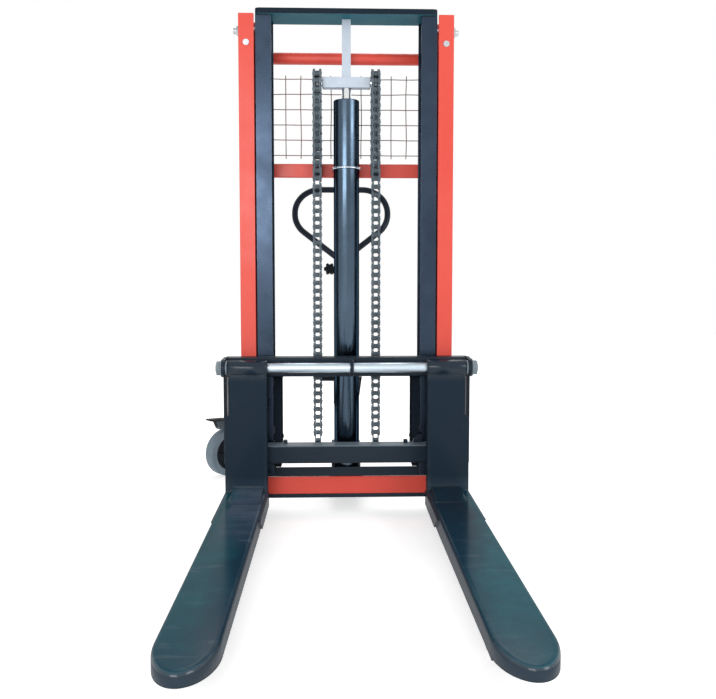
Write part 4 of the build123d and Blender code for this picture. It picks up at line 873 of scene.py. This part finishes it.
pump = {
    "x": -13, "barrelY": 225, "springLow": 355.4, "springHigh": 401.2, "springRadius": 13.2,
    "springWire": 0.9, "springTurns": 4, "turnSteps": 28,
    "pivotY": 185, "pivotZ": 420, "pinClip": (8, 12.5, 1.6), "pinClipX": 17.2, "pinClipSides": 24,
    "plug": (11, 6), "plugX": 41, "plugY": (136, 214), "plugZ": 189.8,  # on the pump block's shoulder
    "backX": 20, "backWasherY": 229.9, "backHeadY": 231.2,
    "back": ((140, (6, 11, 1.6), (17, 8)), (250, (12, 17, 1.6), (22, 7))),  # filler plug and valve cap
    "barrelRing": (16, 24.5, 3), "barrelRingZ": 352.2,
}
bm = bmesh.new()
springSteps = pump["springTurns"] * pump["turnSteps"]
springFoot = pump["springLow"] + pump["springWire"]
springRise = pump["springHigh"] - pump["springLow"] - 2 * pump["springWire"]
points = []
for i in range(springSteps + 1):
    angle = 2 * math.pi * pump["springTurns"] * i / springSteps
    points.append(at(pump["x"] + pump["springRadius"] * math.cos(angle),
                     pump["barrelY"] + pump["springRadius"] * math.sin(angle),
                     springFoot + springRise * i / springSteps))
tube(bm, points, pump["springWire"] / 1000)
spring = finishPiece("plungerSpring", bm, None, "bright_steel", ("rollerSteel",))
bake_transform(spring)
bm = bmesh.new()
for y in pump["plugY"]:
    hexHead(bm, *pump["plug"], Matrix.Translation(at(pump["plugX"], y, pump["plugZ"])))
for z, ring, head in pump["back"]:
    washer(bm, *ring, facing(at(pump["backX"], pump["backWasherY"], z), (0, 1, 0)))
    hexHead(bm, *head, facing(at(pump["backX"], pump["backHeadY"], z), (0, 1, 0)))
washer(bm, *pump["barrelRing"], Matrix.Translation(at(pump["x"], pump["barrelY"], pump["barrelRingZ"])))
pinEnd = facing(at(pump["pinClipX"], pump["pivotY"], pump["pivotZ"]), (1, 0, 0))
clip(bm, *pump["pinClip"], pinEnd, pump["pinClipSides"])
finishPiece("pumpFittings", bm, "chassis", "bright_steel", ("zincPlate",))

tiller = {
    "lean": 18, "stem": 428, "collarRise": 18.5, "collarRadius": 16.5, "collarSteps": 32, "collarBead": 6,
    "neck": ((12, -4), (20, 6)), "neckBead": 5, "knobRise": 394, "knobReach": 43, "knobOut": 20.2,
    "lugX": -16.2, "lugHalf": 12, "lugOut": 4, "lugBead": 4,
    "knobCap": ((10.5, 0), (10.5, 0.8), (9.4, 1.8), (6, 2.4), (5.4, 1.6), (0, 1.5)), "knobCapSides": 28,
}
lean = math.radians(tiller["lean"])
up = Vector((0, math.sin(lean), math.cos(lean)))
toFork = Vector((0, -math.cos(lean), math.sin(lean)))


def onTiller(x, out, rise):
    # millimetres from the tiller's pin: to the right, out towards the forks, and up the stem
    return at(pump["x"] + x, pump["pivotY"], pump["pivotZ"]) + up * (rise / 1000) + toFork * (out / 1000)


bm = bmesh.new()
collar = []
for i in range(tiller["collarSteps"] + 1):
    angle = 2 * math.pi * i / tiller["collarSteps"]
    x, out = tiller["collarRadius"] * math.cos(angle), tiller["collarRadius"] * math.sin(angle)
    collar.append(onTiller(x, out, tiller["collarRise"]))
bead(bm, collar, tiller["collarBead"])
for side in (-1, 1):
    neck = [onTiller(side * x, 0, tiller["stem"] + rise) for x, rise in tiller["neck"]]
    bead(bm, neck, tiller["neckBead"])
for face in (-1, 1):  # both faces of the knob's lug
    ends = (tiller["knobRise"] - tiller["lugHalf"], tiller["knobRise"] + tiller["lugHalf"])
    bead(bm, [onTiller(tiller["lugX"], face * tiller["lugOut"], end) for end in ends], tiller["lugBead"])
finishPiece("tillerWelds", bm, "tiller", "black_paint", crease=weldRun["crease"])
bm = bmesh.new()
knobFace = onTiller(-tiller["knobReach"], tiller["knobOut"], tiller["knobRise"])
lathe(bm, tiller["knobCap"], facing(knobFace, toFork), tiller["knobCapSides"])
finishPiece("knobCap", bm, "release_knob", "knob_plastic")
print("pump and tiller dressed")

studio = {
    "ambient": 0.5, "white": 1.0, "floorSize": 14.0, "floorColor": (0.92, 0.92, 0.92), "floorRoughness": 0.8,
    "floorGlow": 0.56,
    "lamps": (  # place, aim, width, height, watts
        ((-1.1, -3.24, 1.45), (0, 0.33, 1.1), 2.0, 1.0, 53),
        ((3.0, -1.95, 2.2), (0, 0.33, 1.1), 1.7, 1.1, 45),
        ((0.2, 2.6, 3.2), (0, 0.2, 0.8), 2.6, 2.6, 48),
    ),
}


def shownRays(tree):
    # 1 for rays that show the background, 0 for rays that light the object
    path = tree.nodes.new("ShaderNodeLightPath")
    shown = path.outputs["Is Camera Ray"]
    for ray in ("Is Glossy Ray", "Is Transmission Ray"):
        either = tree.nodes.new("ShaderNodeMath")
        either.operation = "MAXIMUM"
        tree.links.new(shown, either.inputs[0])
        tree.links.new(path.outputs[ray], either.inputs[1])
        shown = either.outputs[0]
    return shown


world = bpy.data.worlds.new("studioWorld")
bpy.context.scene.world = world
world.use_nodes = True
tree = world.node_tree
strength = tree.nodes.new("ShaderNodeMapRange")
strength.inputs["To Min"].default_value = studio["ambient"]
strength.inputs["To Max"].default_value = studio["white"]
tree.links.new(shownRays(tree), strength.inputs["Value"])
sky = tree.nodes["Background"]
sky.inputs["Color"].default_value = (1, 1, 1, 1)
tree.links.new(strength.outputs["Result"], sky.inputs["Strength"])

half = studio["floorSize"] / 2
floorMesh = bpy.data.meshes.new("studioFloor")
floorMesh.from_pydata([(x, y, 0) for x, y in oblong(half, half)], [], [(0, 1, 2, 3)])
floor = bpy.data.objects.new("studioFloor", floorMesh)
bpy.context.scene.collection.objects.link(floor)
floorFinish = Finish("studioFloor", studio["floorColor"], studio["floorRoughness"])
glow = floorFinish.node("ShaderNodeEmission")
glow.inputs["Strength"].default_value = studio["floorGlow"]
blank = floorFinish.node("ShaderNodeEmission")
blank.inputs["Strength"].default_value = 0.0
pick = floorFinish.node("ShaderNodeMixShader")
floorFinish.link(shownRays(floorFinish.tree), pick.inputs[0])
floorFinish.link(blank.outputs[0], pick.inputs[1])
floorFinish.link(glow.outputs[0], pick.inputs[2])
total = floorFinish.node("ShaderNodeAddShader")
floorFinish.link(floorFinish.shader.outputs[0], total.inputs[0])
floorFinish.link(pick.outputs[0], total.inputs[1])
floorFinish.link(total.outputs[0], floorFinish.tree.nodes["Material Output"].inputs["Surface"])
floorMesh.materials.append(floorFinish.mat)

for number, (place, aim, width, height, watts) in enumerate(studio["lamps"]):
    lamp = bpy.data.lights.new(f"softLamp{number}", "AREA")
    lamp.shape = "RECTANGLE"
    lamp.size = width
    lamp.size_y = height
    lamp.energy = watts
    holder = bpy.data.objects.new(f"softLamp{number}", lamp)
    holder.location = place
    holder.rotation_euler = (Vector(aim) - Vector(place)).to_track_quat("-Z", "Y").to_euler()
    bpy.context.scene.collection.objects.link(holder)

camera = {"focalPx": 776.0, "widthPx": 716.0, "centreRow": 318.0, "heightPx": 699.0, "sensor": 36.0,
          "place": (-0.041, -2.516, 0.795), "pitch": 3.54, "yaw": 1.78}  # place is from the mast's middle
lens = bpy.data.cameras.new("photoCamera")
lens.sensor_width = camera["sensor"]
lens.lens = camera["focalPx"] * lens.sensor_width / camera["widthPx"]
lens.shift_y = (camera["centreRow"] - camera["heightPx"] / 2) / camera["widthPx"]
eye = bpy.data.objects.new("photoCamera", lens)
eye.location = (camera["place"][0] + mast["x"], camera["place"][1] + mast["y"], camera["place"][2])
eye.rotation_euler = (math.radians(90 - camera["pitch"]), 0, -math.radians(camera["yaw"]))
bpy.context.scene.collection.objects.link(eye)
bpy.context.scene.camera = eye
bpy.context.scene.view_settings.view_transform = "Standard"
print("studio set")
